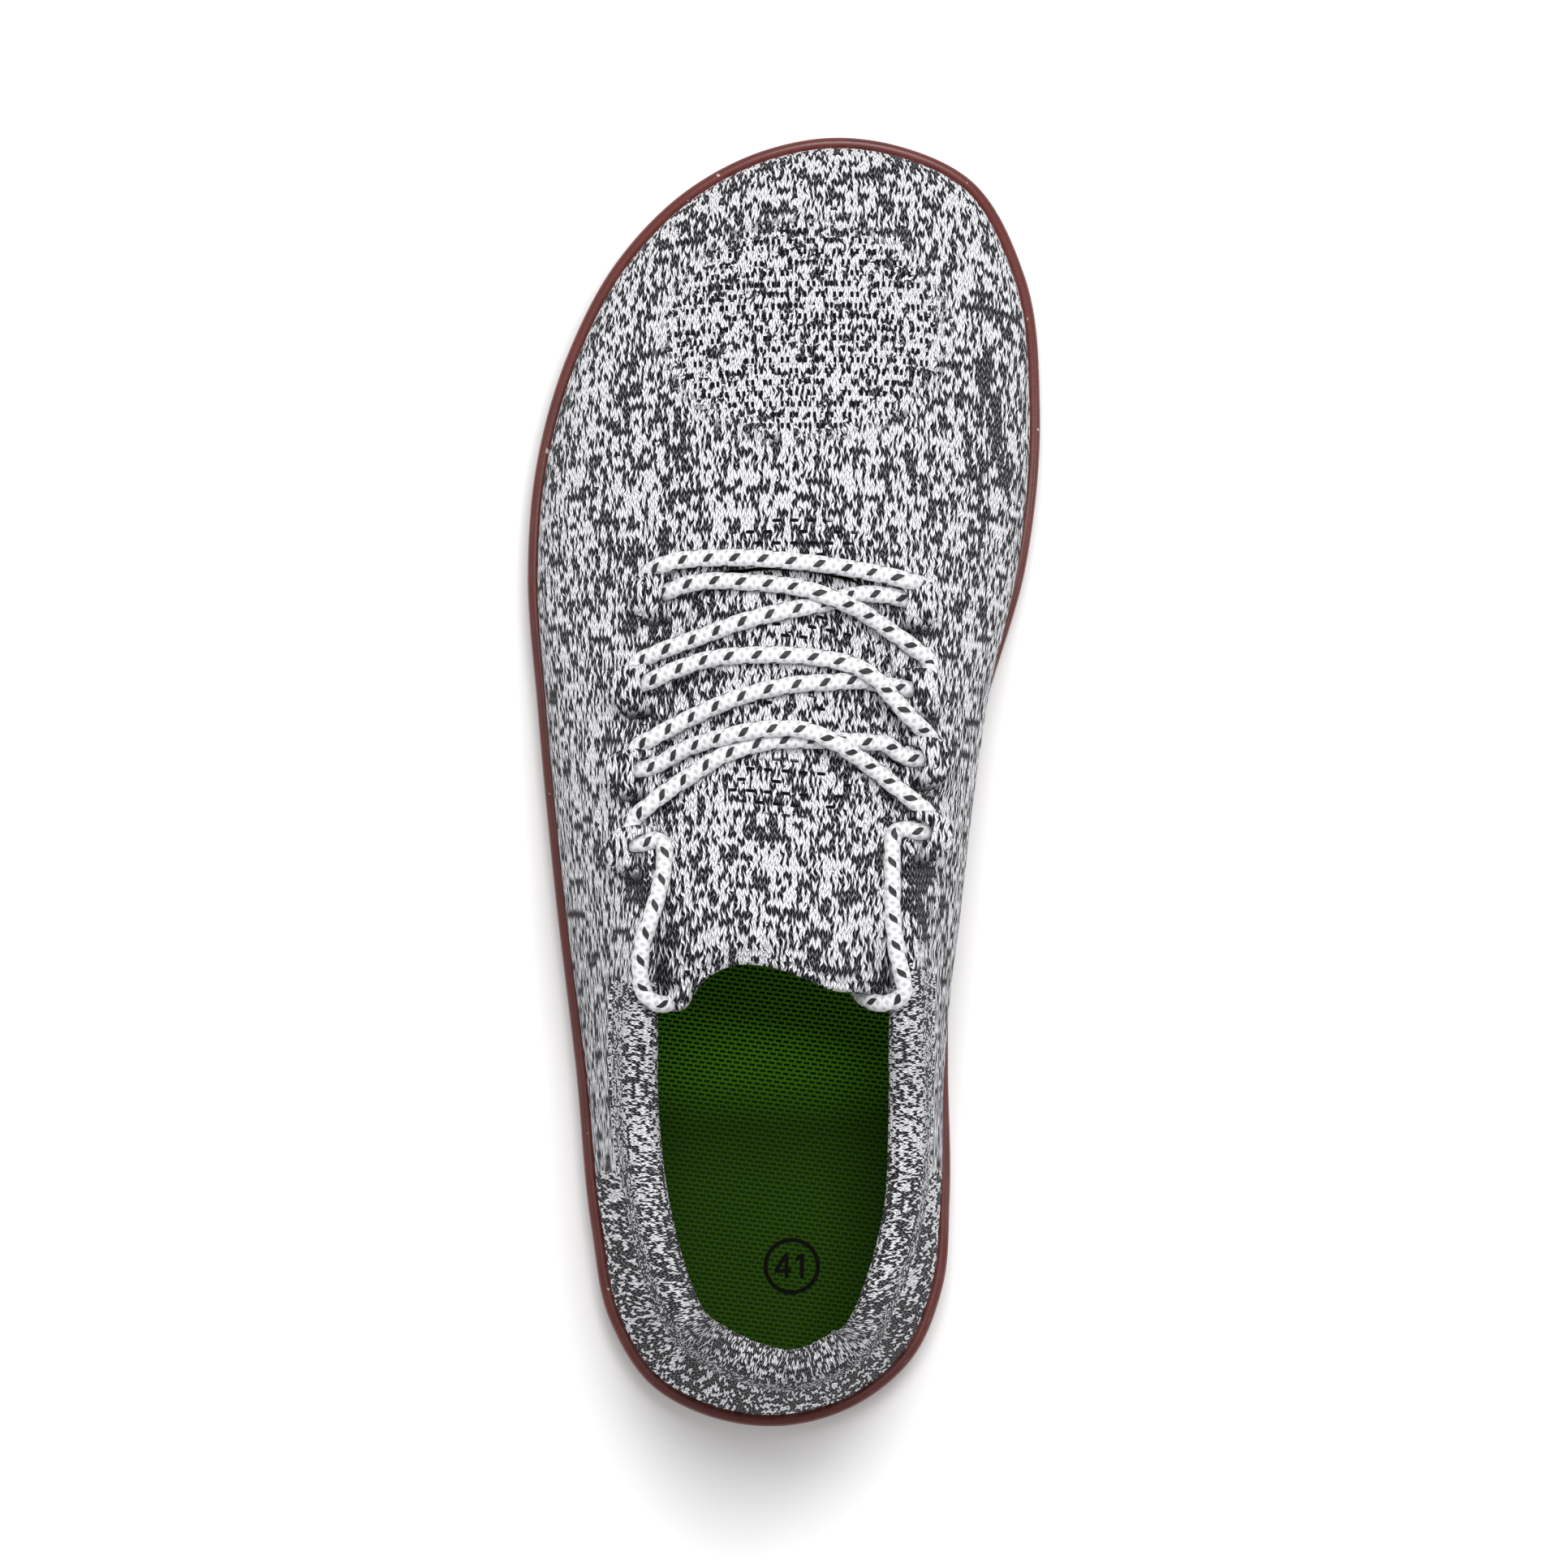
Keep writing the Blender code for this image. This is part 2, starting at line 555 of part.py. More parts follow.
def upper_rings():
    """Closed rings of the upper: up the outside, over the rim, and down the inside."""
    edges, fullness, slopes, bulges, rims = upper_sizes()
    foot_plan = OUTLINE_POINTS - OUTLINE_NORMALS * (LIP_THICKNESS + GAP)
    ground = ground_rise(foot_plan[:, 1])
    profiles = []
    for index in range(CORNERS):
        reach = edges[index, :2] - foot_plan[index]
        length = np.linalg.norm(reach)
        inward = reach / length
        lip = ground[index] + RIM_HEIGHT[index] + GAP
        rise = edges[index, 2] - lip
        line = [(0.0, ground[index] + FLOOR_HEIGHT + GAP), (0.0, lip)]
        shares = [0.0, 0.0]
        for share in WALL_SHARES:
            angle = share * math.pi / 2
            across = 1 - math.cos(angle)
            slope = slopes[index]
            up = (1 - slope) * math.sin(angle) ** fullness[index] + slope * across
            out = bulges[index] * math.sin(math.pi * up**BULGE_POWER)
            line.append((length * across - out, lip + rise * up))
            shares.append(up)
        line = np.array(line)
        tangents = wall_tangents(line)
        tangents[:2] = (0.0, 1.0)
        inside = np.column_stack([tangents[:, 1], -tangents[:, 0]])
        ease = smooth_step((np.array(shares) - PADDING_START) / (1 - PADDING_START))
        thickness = KNIT_THICKNESS + (rims[index] - KNIT_THICKNESS) * ease
        inner = line + inside * thickness[:, None]
        centre = (line[-1] + inner[-1]) / 2
        rim = []
        for angle in np.radians(RIM_ANGLES):
            turn = -inside[-1] * math.cos(angle) + tangents[-1] * math.sin(angle)
            rim.append(centre + turn * rims[index] / 2)
        whole = np.concatenate([line, rim, inner[::-1]])
        plan = foot_plan[index] + inward * whole[:, :1]
        profiles.append(np.column_stack([plan, whole[:, 1]]))
    return np.array(profiles).transpose(1, 0, 2)


def make_upper(rings, material, collection):
    """Hollow knitted shell, open at the collar, the throat and the foot bed."""
    bm = bmesh.new()
    add_rings(bm, rings, close_rows=True)
    return make_object("upper", bm, material, collection)


def on_edge(rings, row, around):
    """Point on one row of the upper at a place around the shoe, along its straight facets."""
    place = np.asarray(around, dtype=float) * SIDE_STEPS
    index = np.floor(place).astype(int)
    share = (place - index)[..., None]
    return rings[row][index % CORNERS] * (1 - share) + rings[row][(index + 1) % CORNERS] * share


def unit(vectors):
    """Scale vectors to a length of one."""
    return vectors / np.linalg.norm(vectors, axis=-1, keepdims=True)


def tongue_grid(rings):
    """Top of the tongue: it meets the vamp at its front and runs under both edges of the throat."""
    edge_row = len(WALL_SHARES) + 1
    inner_row = edge_row + len(RIM_ANGLES) + 1
    across, forward = read_table(TONGUE_END_COLUMNS, TONGUE_END).values()

    def under_edge(around):
        inner = on_edge(rings, inner_row, around)
        down = unit(inner - on_edge(rings, edge_row, around))
        return inner + down * TONGUE_GAP

    front_around = 1 + (THROAT_CORNERS[1] - 1) * across
    front = under_edge(front_around)
    middle = 1 - across**FRONT_POWER
    front[:, 1] -= (KNIT_THICKNESS / 2 + GAP) * middle
    front[:, 2] += KNIT_THICKNESS / 2 * middle
    start = front[:1] + (front[-1:] - front[:1]) * (across[:, None] + 1) / 2
    bend = front - start
    rows = []
    for way, crest, rise, tuck, _ in TONGUE_ROWS:
        sides = []
        tucks = []
        for corner, end in zip(THROAT_CORNERS, TONGUE_ENDS):
            around = corner + (end - corner) * way
            edge = under_edge(around)
            below = unit(on_edge(rings, inner_row + 2, around) - on_edge(rings, inner_row, around))
            sides.append(edge)
            tucks.append((edge + below * TONGUE_TUCK * tuck)[None])
        line = sides[0] + (sides[1] - sides[0]) * (across[:, None] + 1) / 2
        line = line + bend * (1 - way) ** FRONT_POWER
        dome = 1 - np.abs(across) ** DOME_POWER
        line[:, 2] += dome * (crest * TONGUE_CREST + rise * TONGUE_TOP_RISE)
        line[:, 1] += forward * TONGUE_CURVE * way**END_POWER
        rows.append(np.concatenate([tucks[0], line, tucks[1]]))
    return np.array(rows)


def make_tongue(rings, material, collection):
    """Knitted tongue with a padded free end."""
    grid = tongue_grid(rings)
    lengthwise = np.gradient(grid, axis=0)
    crosswise = np.gradient(grid, axis=1)
    normals = unit(np.cross(lengthwise, crosswise))
    normals *= np.sign(normals[..., 2:].mean())
    padding = read_table(TONGUE_COLUMNS, TONGUE_ROWS)["padding"]
    thickness = TONGUE_THICKNESS + padding * TONGUE_PADDING
    lower = grid - normals * thickness[:, None, None]
    sections = np.concatenate([grid, lower[:, ::-1]], axis=1)
    bm = bmesh.new()
    rows = add_rings(bm, sections)
    for row in (rows[0], rows[-1]):
        fill_band(bm, row)
    return make_object("tongue", bm, material, collection)


def add_darts(bm):
    """Plan of the rows of darts along the foot, in turn towards the toe and towards the heel."""
    along, *across_lines = read_table(LINE_COLUMNS, DART_LINES).values()
    across_lines = np.column_stack(across_lines)
    lines = np.arange(across_lines.shape[1])
    for line in lines[:-1]:
        for row in range(DART_ROWS):
            for dart in DARTS:
                corners = []
                for over, down in dart:
                    place = max(line + over, 0.0)
                    y = (DART_START - DART_PITCH * (row + down) - LINE_DROP * place) * SOLE_LENGTH
                    across = smooth_curve(along, across_lines, along_share(y))
                    corners.append(bm.verts.new((np.interp(place, lines, across) * SOLE_WIDTH, y, 0.0)))
                bm.faces.new(corners)


def add_ribs(bm, sizes):
    """Plan of the zigzag ribs right across the toe or the heel."""
    *lengths, count = sizes
    size = dict(zip(RIB_COLUMNS, np.array(lengths) * SOLE_LENGTH))
    reach = RIB_REACH * SOLE_WIDTH
    for rib in range(count):
        x = reach - size["shift"] * rib
        y = size["start"] + size["pitch"] * rib
        ends = []
        up = True
        while x > -reach:
            ends.append([bm.verts.new((x, y + side * size["width"], 0.0)) for side in (-0.5, 0.5)])
            x -= size["rise_run"] if up else size["fall_run"]
            y += size["rise"] if up else -size["fall"]
            up = not up
        for before, after in zip(ends, ends[1:]):
            bm.faces.new((*before, *after[::-1]))


def trim(bm, faces, point, outward):
    """Cut away what some plan faces have beyond a line."""
    edges = {edge for face in faces for edge in face.edges}
    corners = {corner for face in faces for corner in face.verts}
    bmesh.ops.bisect_plane(
        bm, geom=[*corners, *edges, *faces], dist=WELD / 10, plane_co=(*point, 0.0), plane_no=(*outward, 0.0),
        clear_outer=True,
    )


def reaches(face, place, reach):
    """Whether the edge of a plan face comes near a place."""
    corners = np.array([corner.co.xy for corner in face.verts])
    after = np.roll(corners, -1, axis=0)
    edge = after - corners
    share = ((place - corners) * edge).sum(axis=1) / np.maximum((edge * edge).sum(axis=1), WELD**2)
    nearest = corners + edge * np.clip(share, 0.0, 1.0)[:, None]
    return np.linalg.norm(place - nearest, axis=1).min() < reach


def trim_to_rim(bm):
    """Keep the plan faces inside the rim, and let them reach a little way into it."""
    rim = ring(FLARES + RIM_WIDTH - RIM_OVERLAP, 0.0)[:, :2]
    after = np.roll(rim, -1, axis=0)
    outward = np.column_stack([rim[:, 1] - after[:, 1], after[:, 0] - rim[:, 0]])
    middles = (rim + after) / 2
    for middle, way, length in zip(middles, outward, np.linalg.norm(outward, axis=1)):
        near = [face for face in bm.faces if reaches(face, middle, length * TRIM_REACH)]
        if near:
            trim(bm, near, middle, way)
    beyond = []
    for face in bm.faces:
        centre = np.array(face.calc_center_median().xy)
        nearest = np.linalg.norm(middles - centre, axis=1).argmin()
        outside = (centre - middles[nearest]) @ outward[nearest] > 0
        if outside or face.calc_area() < SMALLEST_LUG:
            beyond.append(face)
    bmesh.ops.delete(bm, geom=beyond, context="FACES")


def raise_lugs(bm):
    """Turn the plan of the lugs into solids, from the ground up into the base."""
    bmesh.ops.remove_doubles(bm, verts=bm.verts[:], dist=WELD)
    bmesh.ops.recalc_face_normals(bm, faces=bm.faces[:])
    raised = bmesh.ops.extrude_face_region(bm, geom=bm.faces[:], use_keep_orig=True)["geom"]
    high = {item for item in raised if isinstance(item, bmesh.types.BMVert)}
    for corner in bm.verts:
        corner.co.z = ground_rise(corner.co.y) + (LUG_DEPTH + EMBED if corner in high else 0.0)
    bmesh.ops.triangulate(bm, faces=bm.faces[:], ngon_method="EAR_CLIP")


def add_boolean(part, other, operation):
    """Cut, keep or join a part with another solid."""
    modifier = part.modifiers.new(other.name, "BOOLEAN")
    modifier.operation = operation
    modifier.solver = "EXACT"
    modifier.object = other


def make_tread(outsole, rubber, cutters):
    """Join darts and ribs to the sole, each kept to its own zone of the tread."""
    zones = (
        (lambda bm: add_ribs(bm, TOE_RIBS), None, TOE_LINE),
        (add_darts, TOE_LINE, HEEL_LINE),
        (lambda bm: add_ribs(bm, HEEL_RIBS), HEEL_LINE, None),
    )
    whole = bmesh.new()
    for fill, front_line, back_line in zones:
        bm = bmesh.new()
        fill(bm)
        if front_line is not None:
            trim(bm, bm.faces[:], (0.0, front_line * SOLE_LENGTH - LINE_GROOVE), (-LINE_SLOPE, 1.0))
        if back_line is not None:
            trim(bm, bm.faces[:], (0.0, back_line * SOLE_LENGTH + LINE_GROOVE), (LINE_SLOPE, -1.0))
        trim_to_rim(bm)
        raise_lugs(bm)
        zone = bpy.data.meshes.new("zone")
        bm.to_mesh(zone)
        bm.free()
        whole.from_mesh(zone)
        bpy.data.meshes.remove(zone)
    lugs = make_object("lugs", whole, rubber, cutters)
    lugs.hide_render = True
    lugs.display_type = "WIRE"
    add_boolean(outsole, lugs, "UNION")
    weld = outsole.modifiers.new("weld", "WELD")
    weld.merge_threshold = WELD


def surface_tree(parts):
    """Search tree of the faces of some parts."""
    corners = []
    faces = []
    for part in parts:
        start = len(corners)
        corners += [vertex.co.copy() for vertex in part.data.vertices]
        faces += [[start + index for index in face.vertices] for face in part.data.polygons]
    return BVHTree.FromPolygons(corners, faces)


def touch_down(tree, x, y):
    """Highest point of the parts over a plan position, or beside it over a slot, with its upward normal."""
    for aside in (0.0, TONGUE_GAP, -TONGUE_GAP, TONGUE_GAP * 2, -TONGUE_GAP * 2):
        point, normal, _, _ = tree.ray_cast(Vector((x + aside, y, SKY)), Vector((0.0, 0.0, -1.0)))
        if point:
            break
    point.x = x
    if normal.z < 0:
        normal = -normal
    return point, normal


def lay_on(tree, x, y, clearance):
    """Lowest point over a plan position that keeps its clearance from the parts."""
    point, _ = touch_down(tree, x, y)
    point.z += clearance
    for _ in range(LAY_STEPS):
        distance = tree.find_nearest(point)[3]
        point.z += max(clearance - distance, 0.0)
    return point


def make_loop(name, tree, place, material, collection):
    """Knitted tab that bridges the lace, with its two feet on the upper."""
    share = dict(zip(LOOP_COLUMNS, place))
    x = OPENING_CENTRE + share["across"] * OPENING_WIDTH
    y = (share["along"] - 0.5) * SOLE_LENGTH
    point, up = touch_down(tree, x, y)
    forward = (Vector((0.0, 1.0, 0.0)) - up * up.y).normalized()
    sideways = forward.cross(up)
    radius = LACE_DIAMETER / 2 + LACE_GAP
    base = point + up * (GAP + LOOP_LIFT)
    height = radius * 2 + LOOP_THICKNESS
    reach = radius + LOOP_FOOT
    bell = read_table(BELL_COLUMNS, LOOP_BELL)
    arch = np.radians(np.linspace(0.0, 180.0, len(LOOP_BELL) - 2))
    outer = list(zip(bell["out"] * reach, bell["rise"] * height))
    inner = list(zip(radius * np.cos(arch), radius + radius * np.sin(arch)))
    section = [*outer, (-radius, 0.0), *inner[::-1], (radius, 0.0)]
    sections = []
    for side in (-0.5, 0.5):
        middle = base + sideways * LOOP_WIDTH * side
        sections.append([middle + forward * a + up * b for a, b in section])
    bm = bmesh.new()
    for row in add_rings(bm, sections):
        fill_band(bm, row)
    return make_object(name, bm, material, collection)


def lace_plan(columns, rows):
    """Points of a lace path in the shoe's own sizes, with its last column as it is."""
    across, forward, extra = read_table(columns, rows).values()
    return np.column_stack([OPENING_CENTRE + across * OPENING_WIDTH, forward * SOLE_LENGTH, extra])


def even_curve(points):
    """Even steps along a smooth curve through chosen points."""
    travel = np.concatenate([[0.0], np.cumsum(np.linalg.norm(np.diff(points, axis=0), axis=1))])
    steps = max(int(round(travel[-1] / CORD_STEP)), 2)
    return smooth_curve(travel, points, np.linspace(0.0, travel[-1], steps + 1))


def make_cord(name, fine, material, collection):
    """Round cord with closed ends along a line."""
    curve = bpy.data.curves.new(name, "CURVE")
    curve.dimensions = "3D"
    curve.bevel_depth = LACE_DIAMETER / 2
    curve.bevel_resolution = 2
    curve.use_fill_caps = True
    spline = curve.splines.new("POLY")
    spline.points.add(len(fine) - 1)
    for place, corner in zip(spline.points, fine):
        place.co = (*corner, 1.0)
    curve.materials.append(material)
    cord = bpy.data.objects.new(name, curve)
    collection.objects.link(cord)
    return cord


def cord_to_mesh(cord, collection):
    """Replace a cord's curve with a closed mesh of the same shape."""
    bpy.context.view_layer.update()
    evaluated = cord.evaluated_get(bpy.context.evaluated_depsgraph_get())
    mesh = bpy.data.meshes.new_from_object(evaluated)
    bm = bmesh.new()
    bm.from_mesh(mesh)
    bmesh.ops.remove_doubles(bm, verts=bm.verts[:], dist=0.00001)
    bm.to_mesh(mesh)
    bm.free()
    solid = bpy.data.objects.new("solid", mesh)
    solid.matrix_world = cord.matrix_world.copy()
    name = cord.name
    bpy.data.objects.remove(cord, do_unlink=True)
    solid.name = name
    collection.objects.link(solid)
    return solid


def make_bars(tree, material, collection, cutters):
    """Lace bars laid over the tongue; where one crosses another, the two are joined."""
    clearance = LACE_DIAMETER / 2 + LACE_GAP
    for name, bars in BARS.items():
        solids = []
        for number, bar in enumerate(bars):
            plan = even_curve(lace_plan(BAR_COLUMNS, bar) * (1.0, 1.0, LACE_DIAMETER))
            points = np.array([lay_on(tree, x, y, clearance) for x, y, _ in plan])
            for _ in range(TAUT_STEPS):
                between = (points[:-2, 2] + points[2:, 2]) / 2
                points[1:-1, 2] = np.maximum(points[1:-1, 2], between)
            points[:, 2] += plan[:, 2]
            home = collection if number == 0 else cutters
            cord = make_cord(name if number == 0 else name + "_under", points, material, home)
            solids.append(cord_to_mesh(cord, home))
        for under in solids[1:]:
            under.hide_render = True
            under.display_type = "WIRE"
            add_boolean(solids[0], under, "UNION")


def make_ends(tree, material, collection):
    """Free ends of the lace, from the fourth loops back along the collar and over into it."""
    clearance = LACE_DIAMETER / 2 + LACE_GAP
    for name, rows in ENDS.items():
        points = lace_plan(END_COLUMNS, rows) * (1.0, 1.0, HEEL_HEIGHT)
        for point in points:
            if point[2] == 0:
                height = lay_on(tree, point[0], point[1], clearance).z
                point[2] = height
            else:
                point[2] = height - point[2]
        make_cord(name, even_curve(points), material, collection)


def remove_existing_objects():
    """Empty the scene without closing the file that is open."""
    for existing in list(bpy.data.objects):
        bpy.data.objects.remove(existing, do_unlink=True)


def new_collection(name):
    """Add a collection to the scene."""
    collection = bpy.data.collections.new(name)
    bpy.context.scene.collection.children.link(collection)
    return collection


def main():
    """Build the shoe."""
    remove_existing_objects()
    parts = new_collection("barefoot_shoe")
    rubber = make_material("outsole_rubber", (0.19, 0.045, 0.032), 0.38)
    lining = make_material("insole_mesh", (0.028, 0.085, 0.008), 0.9)
    knit = make_material("knit", (0.45, 0.45, 0.46), 0.92)
    lace = make_material("lace_cord", (0.80, 0.80, 0.80), 0.75)
    cutters = new_collection("cutters")
    outsole = make_sole_body(rubber, parts)
    make_tread(outsole, rubber, cutters)
    make_insole(lining, parts)
    rings = upper_rings()
    upper = make_upper(rings, knit, parts)
    tongue = make_tongue(rings, knit, parts)
    tree = surface_tree((upper, tongue))
    loops = []
    for side, places in (("lateral", LATERAL_LOOPS), ("medial", MEDIAL_LOOPS)):
        for number, place in enumerate(places, 1):
            loops.append(make_loop(f"lace_loop_{side}_{number}", tree, place, knit, parts))
    tree = surface_tree((upper, tongue, *loops))
    make_bars(tree, lace, parts, cutters)
    make_ends(tree, lace, parts)


main()
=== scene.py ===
"""Dressed barefoot shoe for the left foot: knitted upper, tongue, lace loops, lace, sole edge and insole.

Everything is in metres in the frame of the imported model: +Y to the toe, +X to the big-toe side, +Z up.
Lateral is the side of the little toe, and medial is the side of the big toe.
"""
import json
import math

import bmesh
import bpy
import numpy as np
from bpy.props import FloatProperty, FloatVectorProperty, PointerProperty
from mathutils import Matrix, Vector
from mathutils.bvhtree import BVHTree

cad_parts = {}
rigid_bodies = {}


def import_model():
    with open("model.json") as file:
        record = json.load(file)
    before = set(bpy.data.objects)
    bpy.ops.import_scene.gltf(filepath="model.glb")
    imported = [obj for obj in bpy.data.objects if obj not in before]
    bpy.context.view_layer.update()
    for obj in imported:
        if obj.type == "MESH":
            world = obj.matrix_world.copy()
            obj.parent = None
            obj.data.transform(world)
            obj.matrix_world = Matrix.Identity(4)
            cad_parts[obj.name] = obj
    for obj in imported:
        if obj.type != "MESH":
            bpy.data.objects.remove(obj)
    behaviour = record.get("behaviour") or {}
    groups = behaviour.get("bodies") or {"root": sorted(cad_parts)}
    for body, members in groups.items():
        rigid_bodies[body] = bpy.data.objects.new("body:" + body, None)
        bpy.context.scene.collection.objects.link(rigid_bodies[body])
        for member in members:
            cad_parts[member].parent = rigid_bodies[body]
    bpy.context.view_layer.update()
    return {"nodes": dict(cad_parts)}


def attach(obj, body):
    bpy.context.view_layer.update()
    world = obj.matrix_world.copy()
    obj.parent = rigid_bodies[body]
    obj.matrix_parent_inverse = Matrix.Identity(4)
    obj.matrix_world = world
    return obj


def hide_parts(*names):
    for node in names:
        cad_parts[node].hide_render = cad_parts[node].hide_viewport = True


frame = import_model()

bl_info = {
    "name": "Barefoot shoe",
    "version": (1, 0, 0),
    "blender": (4, 5, 0),
    "location": "3D View > Sidebar > Shoe",
    "description": "Dresses the packed barefoot shoe with knit, lace, rubber and insole mesh",
    "category": "Object",
}

MM = 0.001

# Sizes shared with the solids
SOLE_LENGTH = 0.277
SOLE_WIDTH = 0.110
HEEL_HEIGHT = 0.070
INSTEP_HEIGHT = 0.070
TOE_SPRING = 0.0075
TOE_BREAK = 0.70
HEEL_BEVEL = 0.0010
HEEL_BREAK = 0.055
CUP_HEIGHT = 0.0125
LIP_THICKNESS = 0.0020
LUG_DEPTH = 0.0020
BASE_THICKNESS = 0.0030
RIM_STEP = 0.0002
FLARE = 0.0080
FLARE_POWER = 6.0
BAND_STEP = 0.0006
BAND_TOP = 0.74
BAND_FOOT = 0.30
KNIT_THICKNESS = 0.0022
OPENING_WIDTH = 0.065
OPENING_CENTRE = -0.003
COLLAR_PADDING = 0.0080
BULGE = 0.0050
BULGE_POWER = 0.7
INSOLE_THICKNESS = 0.0035
TONGUE_THICKNESS = 0.0028
TONGUE_PADDING = 0.0018
TONGUE_CREST = 0.0085
TONGUE_TOP_RISE = 0.0110
TONGUE_TUCK = 0.0050
TONGUE_CURVE = 0.0080
LACE_DIAMETER = 0.0037
GAP = 0.0003
TONGUE_GAP = 0.0006
FLOOR_HEIGHT = LUG_DEPTH + BASE_THICKNESS

# Samples: round one side of the sole, up the wall, over the rim, and along and across the tongue
SIDE_STEPS = 288
WALL_STEPS = 46
RIM_STEPS = 12
TONGUE_STEPS = (96, 84)

# Outline of the sole: shares of the width from the middle, and of the length from the heel
OUTLINE_COLUMNS = ("across", "along")
OUTLINE = (
    (0.005, 0.000),
    (-0.137, 0.006),
    (-0.258, 0.031),
    (-0.339, 0.081),
    (-0.375, 0.152),
    (-0.405, 0.274),
    (-0.445, 0.408),
    (-0.481, 0.558),
    (-0.500, 0.666),
    (-0.485, 0.742),
    (-0.418, 0.836),
    (-0.326, 0.904),
    (-0.176, 0.963),
    (-0.040, 0.990),
    (0.095, 1.000),
    (0.220, 0.994),
    (0.362, 0.968),
    (0.470, 0.893),
    (0.500, 0.792),
    (0.474, 0.671),
    (0.385, 0.546),
    (0.326, 0.409),
    (0.320, 0.283),
    (0.323, 0.175),
    (0.309, 0.107),
    (0.250, 0.052),
    (0.141, 0.016),
)
TOE_ROW = 14

# Side of the sole: rim height as a share of CUP_HEIGHT, flares of FLARE, ribbed band of BAND_STEP
SIDE_COLUMNS = ("along", "rim_height", "lateral_flare", "medial_flare", "band")
SIDE_ROWS = (
    (0.00, 1.05, 0.42, 0.42, 0.0),
    (0.14, 1.00, 0.38, 0.38, 0.0),
    (0.26, 0.96, 0.42, 0.60, 0.8),
    (0.42, 0.94, 0.50, 1.00, 1.0),
    (0.58, 0.90, 0.50, 0.80, 1.0),
    (0.70, 0.86, 0.40, 0.42, 0.4),
    (0.80, 0.84, 0.38, 0.38, 0.0),
    (0.90, 0.88, 0.38, 0.38, 0.0),
    (1.00, 1.00, 0.42, 0.42, 0.0),
)

# Edge of the upper, one row a spoke. Around runs 0 to 1 from heel to toe on the lateral side and on
# to 2 back along the medial side. Across is a share of OPENING_WIDTH, along of SOLE_LENGTH, the heights
# of HEEL_HEIGHT and INSTEP_HEIGHT, bulge of BULGE, and padding of COLLAR_PADDING.
UPPER_COLUMNS = (
    "around", "across", "along", "heel_height", "instep_height", "fullness", "edge_slope", "bulge", "padding",
)
UPPER_ROWS = (
    (0.00, 0.058, 0.032, 1.00, 0.00, 0.90, 0.90, 0.05, 1.0),
    (0.07, -0.203, 0.052, 0.99, 0.00, 0.90, 0.90, 0.05, 1.0),
    (0.14, -0.346, 0.088, 0.94, 0.00, 0.90, 0.90, 0.10, 1.0),
    (0.21, -0.443, 0.161, 0.85, 0.00, 0.90, 0.90, 0.20, 1.0),
    (0.28, -0.492, 0.246, 0.78, 0.00, 0.90, 0.85, 0.20, 1.0),
    (0.34, -0.485, 0.318, 0.42, 0.41, 0.90, 0.70, 0.25, 0.9),
    (0.39, -0.446, 0.380, 0.00, 0.91, 0.88, 0.50, 0.25, 0.4),
    (0.47, -0.408, 0.478, 0.00, 0.865, 0.86, 0.40, 0.25, 0.1),
    (0.55, -0.362, 0.572, 0.00, 0.795, 0.84, 0.38, 0.25, 0.1),
    (0.62, -0.290, 0.634, 0.00, 0.750, 0.82, 0.40, 0.20, 0.0),
    (0.72, -0.215, 0.662, 0.00, 0.765, 0.72, 0.45, 0.15, 0.0),
    (0.84, -0.100, 0.669, 0.00, 0.800, 0.64, 0.50, 0.10, 0.0),
    (1.00, 0.062, 0.671, 0.00, 0.815, 0.60, 0.50, 0.10, 0.0),
    (1.16, 0.200, 0.666, 0.00, 0.800, 0.64, 0.50, 0.10, 0.0),
    (1.26, 0.308, 0.657, 0.00, 0.765, 0.72, 0.45, 0.15, 0.0),
    (1.36, 0.385, 0.630, 0.00, 0.750, 0.82, 0.36, 0.30, 0.0),
    (1.44, 0.438, 0.578, 0.00, 0.795, 0.84, 0.28, 0.60, 0.1),
    (1.52, 0.465, 0.490, 0.00, 0.865, 0.86, 0.22, 0.95, 0.1),
    (1.60, 0.485, 0.402, 0.00, 0.91, 0.88, 0.30, 1.00, 0.4),
    (1.67, 0.500, 0.318, 0.42, 0.41, 0.90, 0.60, 0.60, 0.9),
    (1.73, 0.508, 0.250, 0.78, 0.00, 0.90, 0.85, 0.35, 1.0),
    (1.80, 0.485, 0.165, 0.85, 0.00, 0.90, 0.90, 0.25, 1.0),
    (1.86, 0.385, 0.094, 0.94, 0.00, 0.90, 0.90, 0.10, 1.0),
    (1.93, 0.285, 0.054, 0.99, 0.00, 0.90, 0.90, 0.05, 1.0),
)

WHOLE_WAY = 2.0
PADDING_START = 0.50

# Tongue: stations from the front of the throat to its free end, with shares of TONGUE_CREST,
# TONGUE_TOP_RISE, TONGUE_TUCK and TONGUE_PADDING
TONGUE_COLUMNS = ("way", "crest", "rise", "tuck", "padding")
TONGUE_ROWS = (
    (0.00, 0.00, 0.00, 0.08, 0.0),
    (0.05, 0.22, 0.00, 0.20, 0.0),
    (0.13, 0.55, 0.00, 0.60, 0.0),
    (0.25, 0.86, 0.00, 1.00, 0.0),
    (0.38, 1.00, 0.01, 1.00, 0.0),
    (0.52, 1.06, 0.05, 1.00, 0.0),
    (0.66, 1.12, 0.16, 1.00, 0.0),
    (0.78, 1.18, 0.38, 1.00, 0.1),
    (0.88, 1.22, 0.70, 0.90, 0.5),
    (0.96, 1.20, 0.96, 0.70, 1.0),
    (1.00, 1.12, 1.00, 0.50, 0.6),
)
